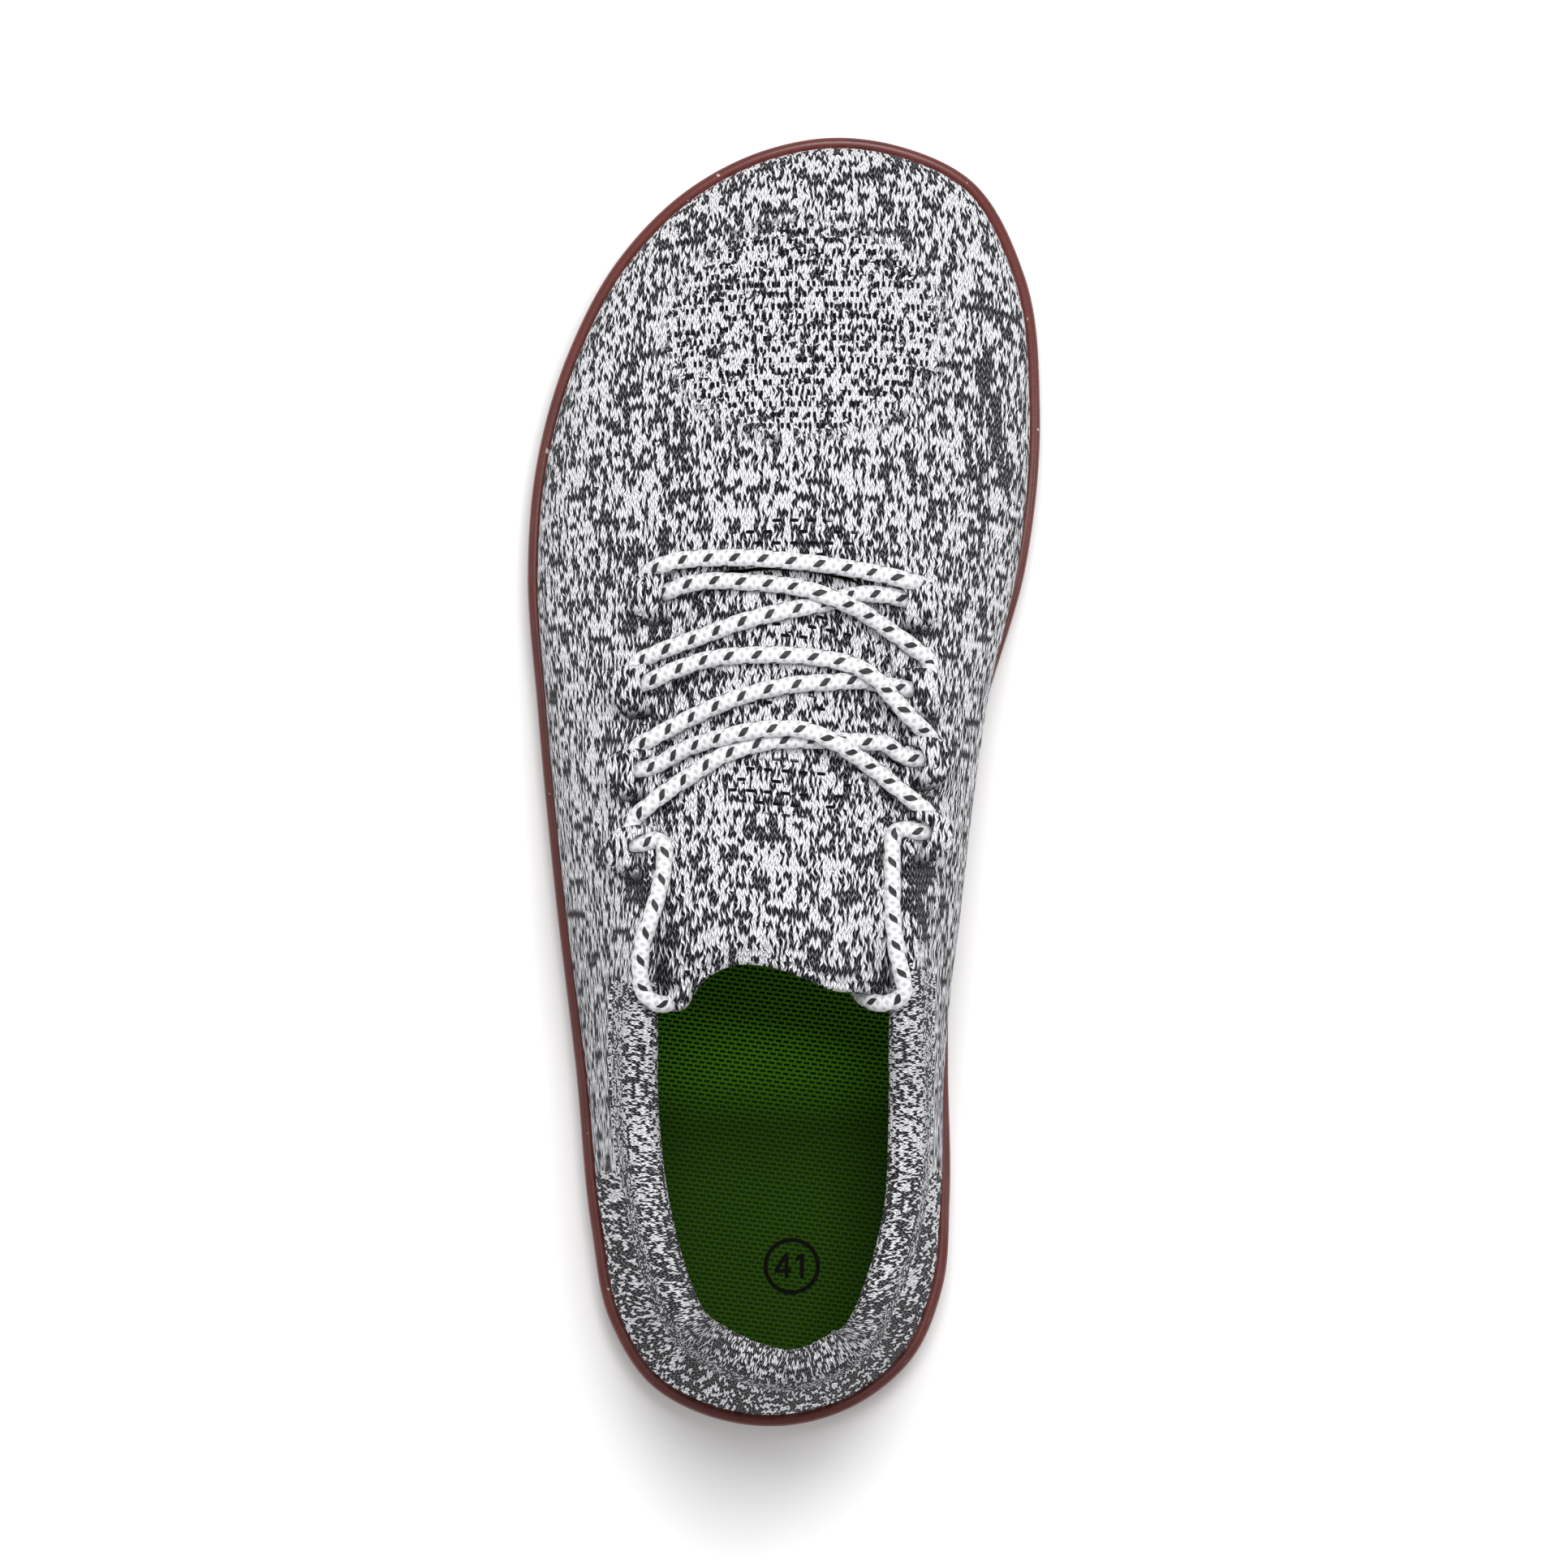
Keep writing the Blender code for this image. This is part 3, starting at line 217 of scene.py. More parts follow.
# Across the tongue, from its lateral to its medial edge: how far its free end curves to the toe, as a
# share of TONGUE_CURVE
TONGUE_END_COLUMNS = ("across", "forward")
TONGUE_END = (
    (-1.00, 0.00),
    (-0.86, 0.00),
    (-0.66, 0.66),
    (-0.40, 1.00),
    (-0.08, 0.94),
    (0.25, 0.60),
    (0.58, 0.20),
    (0.80, 0.14),
    (1.00, 0.00),
)
THROAT_CORNERS = (0.66, 1.34)
TONGUE_ENDS = (0.352, 1.648)
DOME_POWER = 2.2
FRONT_POWER = 4
END_POWER = 5

# Lace loops: where each lies, as shares of OPENING_WIDTH from OPENING_CENTRE and of SOLE_LENGTH
LOOP_COLUMNS = ("across", "along")
LATERAL_LOOPS = ((-0.372, 0.643), (-0.432, 0.571), (-0.440, 0.506), (-0.440, 0.446))
MEDIAL_LOOPS = ((0.462, 0.637), (0.470, 0.568), (0.492, 0.515), (0.492, 0.458))

# Lace bars from the lateral to the medial loops or back: shares of OPENING_WIDTH from OPENING_CENTRE, of
# SOLE_LENGTH from the middle, and how far a bar is lifted over another, in lace diameters
BAR_COLUMNS = ("across", "forward", "lift")
BARS = {
    "lace_bar_1": (
        (
            (-0.418, 0.1603, 0), (-0.338, 0.1697, 0), (-0.238, 0.1726, 0), (-0.138, 0.1733, 0),
            (-0.031, 0.1726, 0), (0.077, 0.1704, 0), (0.185, 0.1675, 0), (0.300, 0.1632, 0),
            (0.408, 0.1581, 0), (0.514, 0.1509, 0),
        ),
    ),
    "lace_crossing_2": (
        (
            (-0.262, 0.1538, 0), (-0.192, 0.1556, 0), (-0.092, 0.1545, 0), (0.008, 0.1527, 0),
            (0.108, 0.1491, 0.1), (0.200, 0.1419, 0.5), (0.289, 0.1325, 0.55), (0.369, 0.1202, 0.2),
            (0.446, 0.1076, 0), (0.523, 0.0935, 0),
        ),
        (
            (0.378, 0.1444, 0), (0.282, 0.1451, 0), (0.169, 0.1375, 0), (0.072, 0.1332, 0),
            (-0.015, 0.1289, 0), (-0.100, 0.1235, 0), (-0.185, 0.1162, 0), (-0.269, 0.1090, 0),
            (-0.351, 0.1022, 0), (-0.443, 0.0924, 0),
        ),
    ),
    "lace_crossing_3": (
        (
            (-0.345, 0.0838, 0), (-0.285, 0.0892, 0), (-0.208, 0.0946, 0), (-0.123, 0.0971, 0),
            (-0.031, 0.0978, 0), (0.069, 0.0975, 0.1), (0.162, 0.0953, 0.6), (0.254, 0.0910, 0.6),
            (0.337, 0.0809, 0.5), (0.400, 0.0646, 0.1), (0.462, 0.0484, 0), (0.526, 0.0339, 0),
        ),
        (
            (0.357, 0.0758, 0), (0.283, 0.0780, 0), (0.194, 0.0765, 0), (0.108, 0.0758, 0),
            (0.008, 0.0722, 0), (-0.082, 0.0671, 0), (-0.169, 0.0596, 0), (-0.238, 0.0523, 0),
            (-0.312, 0.0440, 0), (-0.385, 0.0347, 0), (-0.446, 0.0264, 0),
        ),
    ),
    "lace_crossing_4": (
        (
            (-0.345, 0.0166, 0), (-0.308, 0.0224, 0), (-0.240, 0.0289, 0), (-0.157, 0.0343, 0),
            (-0.077, 0.0386, 0), (0.015, 0.0408, 0.1), (0.108, 0.0397, 0.5), (0.200, 0.0310, 0.6),
            (0.282, 0.0188, 0.4), (0.358, 0.0054, 0), (0.428, -0.0079, 0), (0.514, -0.0238, 0),
        ),
        (
            (0.415, 0.0217, 0), (0.397, 0.0267, 0), (0.308, 0.0303, 0), (0.208, 0.0314, 0),
            (0.112, 0.0318, 0), (0.015, 0.0314, 0), (-0.086, 0.0264, 0), (-0.178, 0.0181, 0),
            (-0.257, 0.0061, 0), (-0.323, -0.0040, 0), (-0.391, -0.0159, 0), (-0.446, -0.0267, 0),
        ),
    ),
}
# Free ends of the lace: drop is how far a point hangs in the collar, as a share of HEEL_HEIGHT
END_COLUMNS = ("across", "forward", "drop")
ENDS = {
    "lace_end_lateral": (
        (-0.360, -0.0455, 0), (-0.352, -0.0563, 0), (-0.358, -0.0693, 0), (-0.375, -0.0874, 0),
        (-0.397, -0.1051, 0), (-0.425, -0.1245, 0), (-0.434, -0.1455, 0), (-0.425, -0.1617, 0),
        (-0.388, -0.1740, 0.012), (-0.329, -0.1805, 0.045), (-0.286, -0.1827, 0.12),
        (-0.268, -0.1827, 0.22),
    ),
    "lace_end_medial": (
        (0.406, -0.0383, 0), (0.398, -0.0487, 0), (0.397, -0.0610, 0), (0.398, -0.0798, 0),
        (0.398, -0.0989, 0), (0.405, -0.1177, 0), (0.415, -0.1365, 0), (0.431, -0.1516, 0),
        (0.437, -0.1646, 0), (0.409, -0.1769, 0.012), (0.348, -0.1827, 0.045), (0.302, -0.1834, 0.12),
        (0.283, -0.1834, 0.22),
    ),
}


def smooth_curve(keys, values, at):
    """Read rows of values between their keys, as a smooth curve that passes through each row."""
    keys = np.asarray(keys, dtype=float)
    values = np.asarray(values, dtype=float)
    slopes = np.gradient(values, keys, axis=0)
    index = np.clip(np.searchsorted(keys, at, side="right") - 1, 0, len(keys) - 2)
    span = keys[index + 1] - keys[index]
    share = (np.asarray(at, dtype=float) - keys[index]) / span
    shape = np.shape(share) + (1,) * (values.ndim - 1)
    share = np.reshape(share, shape)
    span = np.reshape(span, shape)
    start = (1 + 2 * share) * (1 - share) ** 2 * values[index]
    leave = share * (1 - share) ** 2 * span * slopes[index]
    end = share**2 * (3 - 2 * share) * values[index + 1]
    arrive = share**2 * (share - 1) * span * slopes[index + 1]
    return start + leave + end + arrive


def read_table(columns, rows):
    """Columns of a table by their names."""
    values = np.array(rows, dtype=float)
    return {name: values[:, place] for place, name in enumerate(columns)}


def closed_curve(keys, values, period, at):
    """Read a smooth curve that closes on itself after one period."""
    keys = np.asarray(keys, dtype=float)
    values = np.asarray(values, dtype=float)
    keys = np.concatenate([keys[-3:] - period, keys, keys[:3] + period])
    values = np.concatenate([values[-3:], values, values[:3]])
    return smooth_curve(keys, values, at)


def smooth_step(share):
    """Ease from 0 to 1 with level ends."""
    share = np.clip(share, 0.0, 1.0)
    return share * share * (3 - 2 * share)


def sole_outline():
    """Return the outline's corners and outward normals, lateral side first, from heel to heel."""
    shares = read_table(OUTLINE_COLUMNS, OUTLINE)
    corners = np.column_stack([shares["across"] * SOLE_WIDTH, shares["along"] * SOLE_LENGTH])
    chords = np.linalg.norm(np.diff(corners, axis=0, append=corners[:1]), axis=1)
    keys = np.concatenate([[0.0], np.cumsum(chords)[:-1]])
    period = chords.sum()
    fine_keys = np.linspace(0.0, period, 1201)
    fine = closed_curve(keys, corners, period, fine_keys)
    travel = np.concatenate([[0.0], np.cumsum(np.linalg.norm(np.diff(fine, axis=0), axis=1))])
    toe_travel = np.interp(keys[TOE_ROW], fine_keys, travel)
    lateral = np.linspace(0.0, toe_travel, SIDE_STEPS, endpoint=False)
    medial = np.linspace(toe_travel, travel[-1], SIDE_STEPS, endpoint=False)
    places = np.interp(np.concatenate([lateral, medial]), travel, fine_keys)
    points = closed_curve(keys, corners, period, places)
    step = period * 0.001
    ahead = closed_curve(keys, corners, period, places + step)
    behind = closed_curve(keys, corners, period, places - step)
    tangents = ahead - behind
    tangents /= np.linalg.norm(tangents, axis=1)[:, None]
    normals = np.stack([-tangents[:, 1], tangents[:, 0]], axis=1)
    points -= (points.max(axis=0) + points.min(axis=0)) / 2
    return points, normals, np.arange(2 * SIDE_STEPS) / SIDE_STEPS


def along_share(y):
    """Turn a place along the shoe into a share of its length from the heel."""
    return np.clip(np.asarray(y, dtype=float) / SOLE_LENGTH + 0.5, 0.0, 1.0)


def ground_rise(y):
    """Height of the tread over the ground: nothing but at the toe and the back of the heel."""
    share = along_share(y)
    toe = np.clip((share - TOE_BREAK) / (1 - TOE_BREAK), 0.0, 1.0)
    heel = np.clip((HEEL_BREAK - share) / HEEL_BREAK, 0.0, 1.0)
    return TOE_SPRING * toe**2 + HEEL_BEVEL * heel**2






def upper_grid():
    """Rows of the upper from its foot up the outside, over its rim and down the inside, with knit places.

    Returns points (rows, corners, 3), places along the shoe and places round it in millimetres, and how
    much each point belongs to the ribbed collar and heel.
    """
    plan, normals, around = sole_outline()
    rows = read_table(UPPER_COLUMNS, UPPER_ROWS)
    read = {name: closed_curve(rows["around"], values, WHOLE_WAY, around) for name, values in rows.items()}
    side = read_table(SIDE_COLUMNS, SIDE_ROWS)
    rim_height = smooth_curve(side["along"], side["rim_height"], along_share(plan[:, 1])) * CUP_HEIGHT
    foot = plan - normals * (LIP_THICKNESS + GAP)
    edge = np.column_stack([
        OPENING_CENTRE + read["across"] * OPENING_WIDTH,
        (read["along"] - 0.5) * SOLE_LENGTH,
    ])
    top = read["heel_height"] * HEEL_HEIGHT + read["instep_height"] * INSTEP_HEIGHT
    padding = np.clip(read["padding"], 0.0, 1.0)
    rim = KNIT_THICKNESS + padding * (COLLAR_PADDING - KNIT_THICKNESS)
    reach = edge - foot
    length = np.linalg.norm(reach, axis=1)
    inward = reach / length[:, None]
    ground = ground_rise(foot[:, 1])
    lip = ground + rim_height + GAP
    shares = np.linspace(0.0, 1.0, WALL_STEPS + 1)[1:, None]
    angle = shares * math.pi / 2
    across = 1 - np.cos(angle)
    up = (1 - read["edge_slope"]) * np.sin(angle) ** read["fullness"] + read["edge_slope"] * across
    out = read["bulge"] * BULGE * np.sin(math.pi * np.clip(up, 0.0, 1.0) ** BULGE_POWER)
    wall = np.stack([length * across - out, lip + (top - lip) * up], axis=2)
    base = np.stack([np.zeros_like(lip), ground + FLOOR_HEIGHT + GAP], axis=1)
    start = np.stack([np.zeros_like(lip), lip], axis=1)
    line = np.concatenate([base[None], start[None], wall])
    tangents = np.gradient(line, axis=0)
    tangents /= np.linalg.norm(tangents, axis=2, keepdims=True)
    tangents[:2] = (0.0, 1.0)
    inside = np.stack([tangents[..., 1], -tangents[..., 0]], axis=2)
    rise = np.concatenate([np.zeros((2, len(lip))), up])
    ease = smooth_step((rise - PADDING_START) / (1 - PADDING_START))
    inner = line + inside * (KNIT_THICKNESS + (rim - KNIT_THICKNESS) * ease)[..., None]
    centre = (line[-1] + inner[-1]) / 2
    turns = np.radians(np.linspace(0.0, 180.0, RIM_STEPS + 2)[1:-1])
    roll = [
        centre + (-inside[-1] * math.cos(turn) + tangents[-1] * math.sin(turn)) * rim[:, None] / 2
        for turn in turns
    ]
    whole = np.concatenate([line, np.array(roll), inner[::-1]])
    points = np.concatenate([foot + inward * whole[..., :1], whole[..., 1:]], axis=2)
    travel = np.cumsum(np.linalg.norm(np.diff(whole, axis=0, prepend=whole[:1]), axis=2), axis=0)
    to_edge = travel - travel[len(line) - 1]
    along = (edge + inward * to_edge[..., None]) / MM
    steps = np.linalg.norm(np.diff(foot, axis=0, append=foot[:1]), axis=1)
    round_shoe = np.cumsum(steps) - steps
    whole_round = np.concatenate([round_shoe, [steps.sum()]])
    wide = np.concatenate([to_edge, to_edge[:, :1]], axis=1)
    rounds = np.stack([np.broadcast_to(whole_round, wide.shape), wide], axis=2) / MM
    heel = smooth_step((-0.078 - points[..., 1]) / 0.012)
    band = smooth_step((0.013 + to_edge) / 0.004) * smooth_step((padding - 0.55) / 0.3)
    return points, along, rounds, np.maximum(heel, band), to_edge


def surface_mesh(name, points, close_rows, close_columns, places):
    """A mesh from rows of points, with a UV map for each named set of places."""
    rows, columns = points.shape[:2]
    index = np.arange(rows * columns).reshape(rows, columns)
    if close_rows:
        index = np.concatenate([index, index[:1]])
    if close_columns:
        index = np.concatenate([index, index[:, :1]], axis=1)
    faces = np.stack([index[:-1, :-1], index[:-1, 1:], index[1:, 1:], index[1:, :-1]], axis=2).reshape(-1, 4)
    mesh = bpy.data.meshes.new(name)
    mesh.vertices.add(rows * columns)
    mesh.vertices.foreach_set("co", points.reshape(-1))
    mesh.loops.add(faces.size)
    mesh.loops.foreach_set("vertex_index", faces.reshape(-1))
    mesh.polygons.add(len(faces))
    mesh.polygons.foreach_set("loop_start", np.arange(0, faces.size, 4))
    mesh.update(calc_edges=True)
    for label, values in places.items():
        if values.shape[-1] == 1:
            layer = mesh.attributes.new(label, "FLOAT", "POINT")
            layer.data.foreach_set("value", values.reshape(-1))
            continue
        if close_rows:
            values = np.concatenate([values, values[:1]])
        if close_columns and values.shape[1] == columns:
            values = np.concatenate([values, values[:, :1]], axis=1)
        corners = np.stack([values[:-1, :-1], values[:-1, 1:], values[1:, 1:], values[1:, :-1]], axis=2)
        layer = mesh.uv_layers.new(name=label)
        layer.data.foreach_set("uv", corners.reshape(-1))
    mesh.shade_smooth()
    mesh.validate()
    return mesh


def add_piece(name, mesh, material, slot, *nodes):
    """Put a mesh in the scene as a piece that rides with the shoe and stands for some nodes."""
    piece = bpy.data.objects.new(name, mesh)
    bpy.context.scene.collection.objects.link(piece)
    mesh.materials.clear()
    mesh.materials.append(material)
    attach(piece, "root")
    if nodes:
        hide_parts(*nodes)
    return piece


def surface_normals(points):
    """Normals of a grid of points whose rows close on themselves."""
    wrapped = np.concatenate([points[:, -1:], points, points[:, :1]], axis=1)
    across = wrapped[:, 2:] - wrapped[:, :-2]
    along = np.gradient(points, axis=0)
    normals = np.cross(across, along)
    return normals / np.maximum(np.linalg.norm(normals, axis=2, keepdims=True), 1e-12)


def under_edge(grid, rows, around):
    """Points just inside the rim of the upper at places around the shoe, with the way down the inside."""
    place = np.asarray(around, dtype=float) * SIDE_STEPS
    index = np.floor(place).astype(int)
    share = (place - index)[..., None]
    count = grid.shape[1]
    read = [grid[row][index % count] * (1 - share) + grid[row][(index + 1) % count] * share for row in rows]
    down = unit(read[1] - read[0])
    below = unit(read[2] - read[1])
    return read[1] + down * TONGUE_GAP, below


def unit(vectors):
    """Scale vectors to a length of one."""
    return vectors / np.maximum(np.linalg.norm(vectors, axis=-1, keepdims=True), 1e-12)


def tongue_grid(grid):
    """Top of the tongue, its rows from the front of the throat to its free end, and its thickness."""
    edge_row = WALL_STEPS + 1
    inner_row = edge_row + RIM_STEPS + 1
    rows = (edge_row, inner_row, inner_row + 8)
    long_steps, cross_steps = TONGUE_STEPS
    ends = read_table(TONGUE_END_COLUMNS, TONGUE_END)
    across = np.linspace(-1.0, 1.0, cross_steps)
    forward = smooth_curve(ends["across"], ends["forward"], across)
    stations = read_table(TONGUE_COLUMNS, TONGUE_ROWS)
    ways = np.linspace(0.0, 1.0, long_steps)
    read = {name: smooth_curve(stations["way"], values, ways) for name, values in stations.items()}
    front = under_edge(grid, rows, 1 + (THROAT_CORNERS[1] - 1) * across)[0]
    middle = 1 - across**FRONT_POWER
    front[:, 1] -= (KNIT_THICKNESS / 2 + GAP) * middle
    front[:, 2] += KNIT_THICKNESS / 2 * middle
    start = front[:1] + (front[-1:] - front[:1]) * (across[:, None] + 1) / 2
    bend = front - start
    lines = []
    for step, way in enumerate(ways):
        sides = []
        tucks = []
        for corner, end in zip(THROAT_CORNERS, TONGUE_ENDS):
            edge, below = under_edge(grid, rows, corner + (end - corner) * way)
            sides.append(edge)
            tucks.append((edge + below * TONGUE_TUCK * read["tuck"][step])[None])
        line = sides[0] + (sides[1] - sides[0]) * (across[:, None] + 1) / 2
        line = line + bend * (1 - way) ** FRONT_POWER
        dome = 1 - np.abs(across) ** DOME_POWER
        line[:, 2] += dome * (read["crest"][step] * TONGUE_CREST + read["rise"][step] * TONGUE_TOP_RISE)
        line[:, 1] += forward * TONGUE_CURVE * way**END_POWER
        lines.append(np.concatenate([tucks[0], line, tucks[1]]))
    thickness = TONGUE_THICKNESS + np.clip(read["padding"], 0.0, 1.2) * TONGUE_PADDING
    return np.array(lines), thickness


def search_tree(objects):
    """Search tree of the faces of some objects."""
    corners = []
    faces = []
    for item in objects:
        start = len(corners)
        corners += [vertex.co.copy() for vertex in item.data.vertices]
        faces += [[start + index for index in face.vertices] for face in item.data.polygons]
    return BVHTree.FromPolygons(corners, faces)


def lay_on(tree, x, y, clearance):
    """Lowest place over a plan position that keeps its clearance from what lies below."""
    aside = clearance * 0.4
    hits = [
        tree.ray_cast(Vector((x + over, y + ahead, 0.2)), Vector((0.0, 0.0, -1.0)))[0]
        for over, ahead in ((0.0, 0.0), (aside, 0.0), (-aside, 0.0), (0.0, aside), (0.0, -aside))
    ]
    point = Vector((x, y, max(hit.z for hit in hits if hit) + clearance))
    for _ in range(14):
        point.z += max(clearance - tree.find_nearest(point)[3], 0.0)
    return point


def loop_frames(tree):
    """For each lace loop its foot point, and its directions to the toe, up and across to the medial side."""
    frames = {}
    for side, places in (("lateral", LATERAL_LOOPS), ("medial", MEDIAL_LOOPS)):
        for number, place in enumerate(places, 1):
            share = dict(zip(LOOP_COLUMNS, place))
            x = OPENING_CENTRE + share["across"] * OPENING_WIDTH
            y = (share["along"] - 0.5) * SOLE_LENGTH
            point, up, _, _ = tree.ray_cast(Vector((x, y, 0.2)), Vector((0.0, 0.0, -1.0)))
            up = up if up.z > 0 else -up
            ahead = (Vector((0.0, 1.0, 0.0)) - up * up.y).normalized()
            frames[side, number] = (np.array(point), np.array(ahead), np.array(up), np.array(ahead.cross(up)))
    return frames


def tube_rings(path, ups, half_across, half_up, sides, squareness=2.0):
    """Rings of an oval tube along a path, with places of millimetres along it and turns round it."""
    path = np.asarray(path, dtype=float)
    tangents = unit(np.gradient(path, axis=0))
    ups = unit(ups - tangents * (ups * tangents).sum(axis=1, keepdims=True))
    across = np.cross(tangents, ups)
    half_across = np.broadcast_to(half_across, len(path))[:, None, None]
    turns = np.linspace(0.0, 2 * math.pi, sides, endpoint=False)
    cosine = np.sign(np.cos(turns)) * np.abs(np.cos(turns)) ** (2.0 / squareness)
    sine = np.sign(np.sin(turns)) * np.abs(np.sin(turns)) ** (2.0 / squareness)
    wide = across[:, None] * cosine[None, :, None] * half_across
    rings = path[:, None] + wide + ups[:, None] * sine[None, :, None] * half_up
    travel = np.concatenate([[0.0], np.cumsum(np.linalg.norm(np.diff(path, axis=0), axis=1))])
    places = np.zeros((len(path), sides + 1, 2))
    places[..., 0] = travel[:, None] / MM
    places[..., 1] = np.linspace(0.0, 1.0, sides + 1)
    return rings, places


def tube_mesh(name, rings, places, **values):
    """A tube from its rings, with its ends closed."""
    mesh = surface_mesh(name, rings, False, True, {"along": places, **values})
    bm = bmesh.new()
    bm.from_mesh(mesh)
    bm.verts.ensure_lookup_table()
    rows, sides = rings.shape[:2]
    bm.faces.new([bm.verts[index] for index in range(sides)][::-1])
    bm.faces.new([bm.verts[(rows - 1) * sides + index] for index in range(sides)])
    bmesh.ops.recalc_face_normals(bm, faces=bm.faces[:])
    bm.to_mesh(mesh)
    bm.free()
    return mesh


def even_path(points, step):
    """Even steps along a smooth curve through chosen points."""
    points = np.array(points, dtype=float)
    travel = np.concatenate([[0.0], np.cumsum(np.linalg.norm(np.diff(points, axis=0), axis=1))])
    count = max(int(round(travel[-1] / step)), 2)
    fine = smooth_curve(travel, points, np.linspace(0.0, travel[-1], count * 4 + 1))
    arc = np.concatenate([[0.0], np.cumsum(np.linalg.norm(np.diff(fine, axis=0), axis=1))])
    places = np.linspace(0.0, arc[-1], count + 1)
    return np.column_stack([np.interp(places, arc, fine[:, axis]) for axis in range(3)])


def lace_plan(columns, rows):
    """Points of a lace path in metres, with its last column as it is."""
    across, forward, extra = read_table(columns, rows).values()
    return np.column_stack([OPENING_CENTRE + across * OPENING_WIDTH, forward * SOLE_LENGTH, extra])


class Nodes:
    """Adds nodes to a node tree and links whatever they are given."""

    def __init__(self, tree):
        self.tree = tree

    def add(self, kind, values=None, **settings):
        """Add a node, set its properties, and fill its inputs by name or place."""
        node = self.tree.nodes.new(kind)
        for name, setting in settings.items():
            setattr(node, name, setting)
        for key, value in (values or {}).items():
            self.feed(node.inputs[key], value)
        return node

    def feed(self, socket, value):
        """Link a socket to another, or give it a plain value."""
        if isinstance(value, bpy.types.NodeSocket):
            self.tree.links.new(value, socket)
        else:
            socket.default_value = value

    def math(self, operation, *values):
        """Result of a sum on up to three values."""
        return self.add("ShaderNodeMath", dict(enumerate(values)), operation=operation).outputs[0]

    def times(self, first, second):
        """Product of two values."""
        return self.math("MULTIPLY", first, second)

    def times_plus(self, first, second, third):
        """Product of two values and a third on top."""
        return self.math("MULTIPLY_ADD", first, second, third)

    def minus(self, first, second):
        """The first value less the second."""
        return self.math("SUBTRACT", first, second)

    def divided(self, first, second):
        """The first value over the second."""
        return self.math("DIVIDE", first, second)

    def plus(self, first, second):
        """Sum of two values."""
        return self.math("ADD", first, second)

    def vector(self, operation, values):
        """Result of a sum on places."""
        return self.add("ShaderNodeVectorMath", values, operation=operation).outputs[0]

    def stretched(self, place, scale):
        """A place with each of its parts scaled."""
        return self.add("ShaderNodeMapping", {0: place, 3: scale}).outputs[0]

    def chance(self, place):
        """An even random value for each whole place of a plane."""
        return self.add("ShaderNodeTexWhiteNoise", {"Vector": place}, noise_dimensions="2D").outputs[0]

    def mix(self, share, first, second):
        """Blend of two colours."""
        node = self.add("ShaderNodeMix", data_type="RGBA")
        self.feed(node.inputs["Factor"], share)
        self.feed(node.inputs["A"], first)
        self.feed(node.inputs["B"], second)
        return node.outputs["Result"]

    def ramp(self, value, low, high):
        """Ease a value from 0 at low to 1 at high."""
        values = {"Value": value, "From Min": low, "From Max": high}
        return self.add("ShaderNodeMapRange", values, interpolation_type="SMOOTHSTEP").outputs[0]

    def mix_places(self, factor, first, second):
        """The first place where the factor is 0 and the second where it is 1."""
        mixed = self.add("ShaderNodeMix", data_type="VECTOR")
        self.feed(mixed.inputs["Factor"], factor)
        self.feed(mixed.inputs[4], first)
        self.feed(mixed.inputs[5], second)
        return mixed.outputs[1]

    def noise(self, place, scale, detail=2.0):
        """Soft noise from 0 to 1."""
        values = {"Vector": place, "Scale": scale, "Detail": detail}
        return self.add("ShaderNodeTexNoise", values).outputs["Fac"]

    def split(self, place):
        """The two first parts of a place."""
        node = self.add("ShaderNodeSeparateXYZ", {0: place})
        return node.outputs[0], node.outputs[1]

    def join(self, across, along, deep=0.0):
        """A place from its parts."""
        return self.add("ShaderNodeCombineXYZ", {0: across, 1: along, 2: deep}).outputs[0]

    def uv(self, name):
        """A named set of places on the piece."""
        return self.add("ShaderNodeUVMap", uv_map=name).outputs[0]

    def attribute(self, name):
        """A named value on the piece."""
        return self.add("ShaderNodeAttribute", attribute_name=name).outputs["Fac"]

    def group(self, tree, values):
        """Place a shared group."""
        node = self.add("ShaderNodeGroup", node_tree=tree)
        for key, value in values.items():
            self.feed(node.inputs[key], value)
        return node


def new_group(name, inputs, outputs):
    """A shader group with plain sockets, and what adds nodes to it."""
    tree = bpy.data.node_groups.new(name, "ShaderNodeTree")
    for label, kind, value in inputs:
        socket = tree.interface.new_socket(label, in_out="INPUT", socket_type=kind)
        if value is not None:
            socket.default_value = value
    for label, kind in outputs:
        tree.interface.new_socket(label, in_out="OUTPUT", socket_type=kind)
    nodes = Nodes(tree)
    source = nodes.add("NodeGroupInput")
    target = nodes.add("NodeGroupOutput")
    return tree, nodes, source.outputs, target.inputs


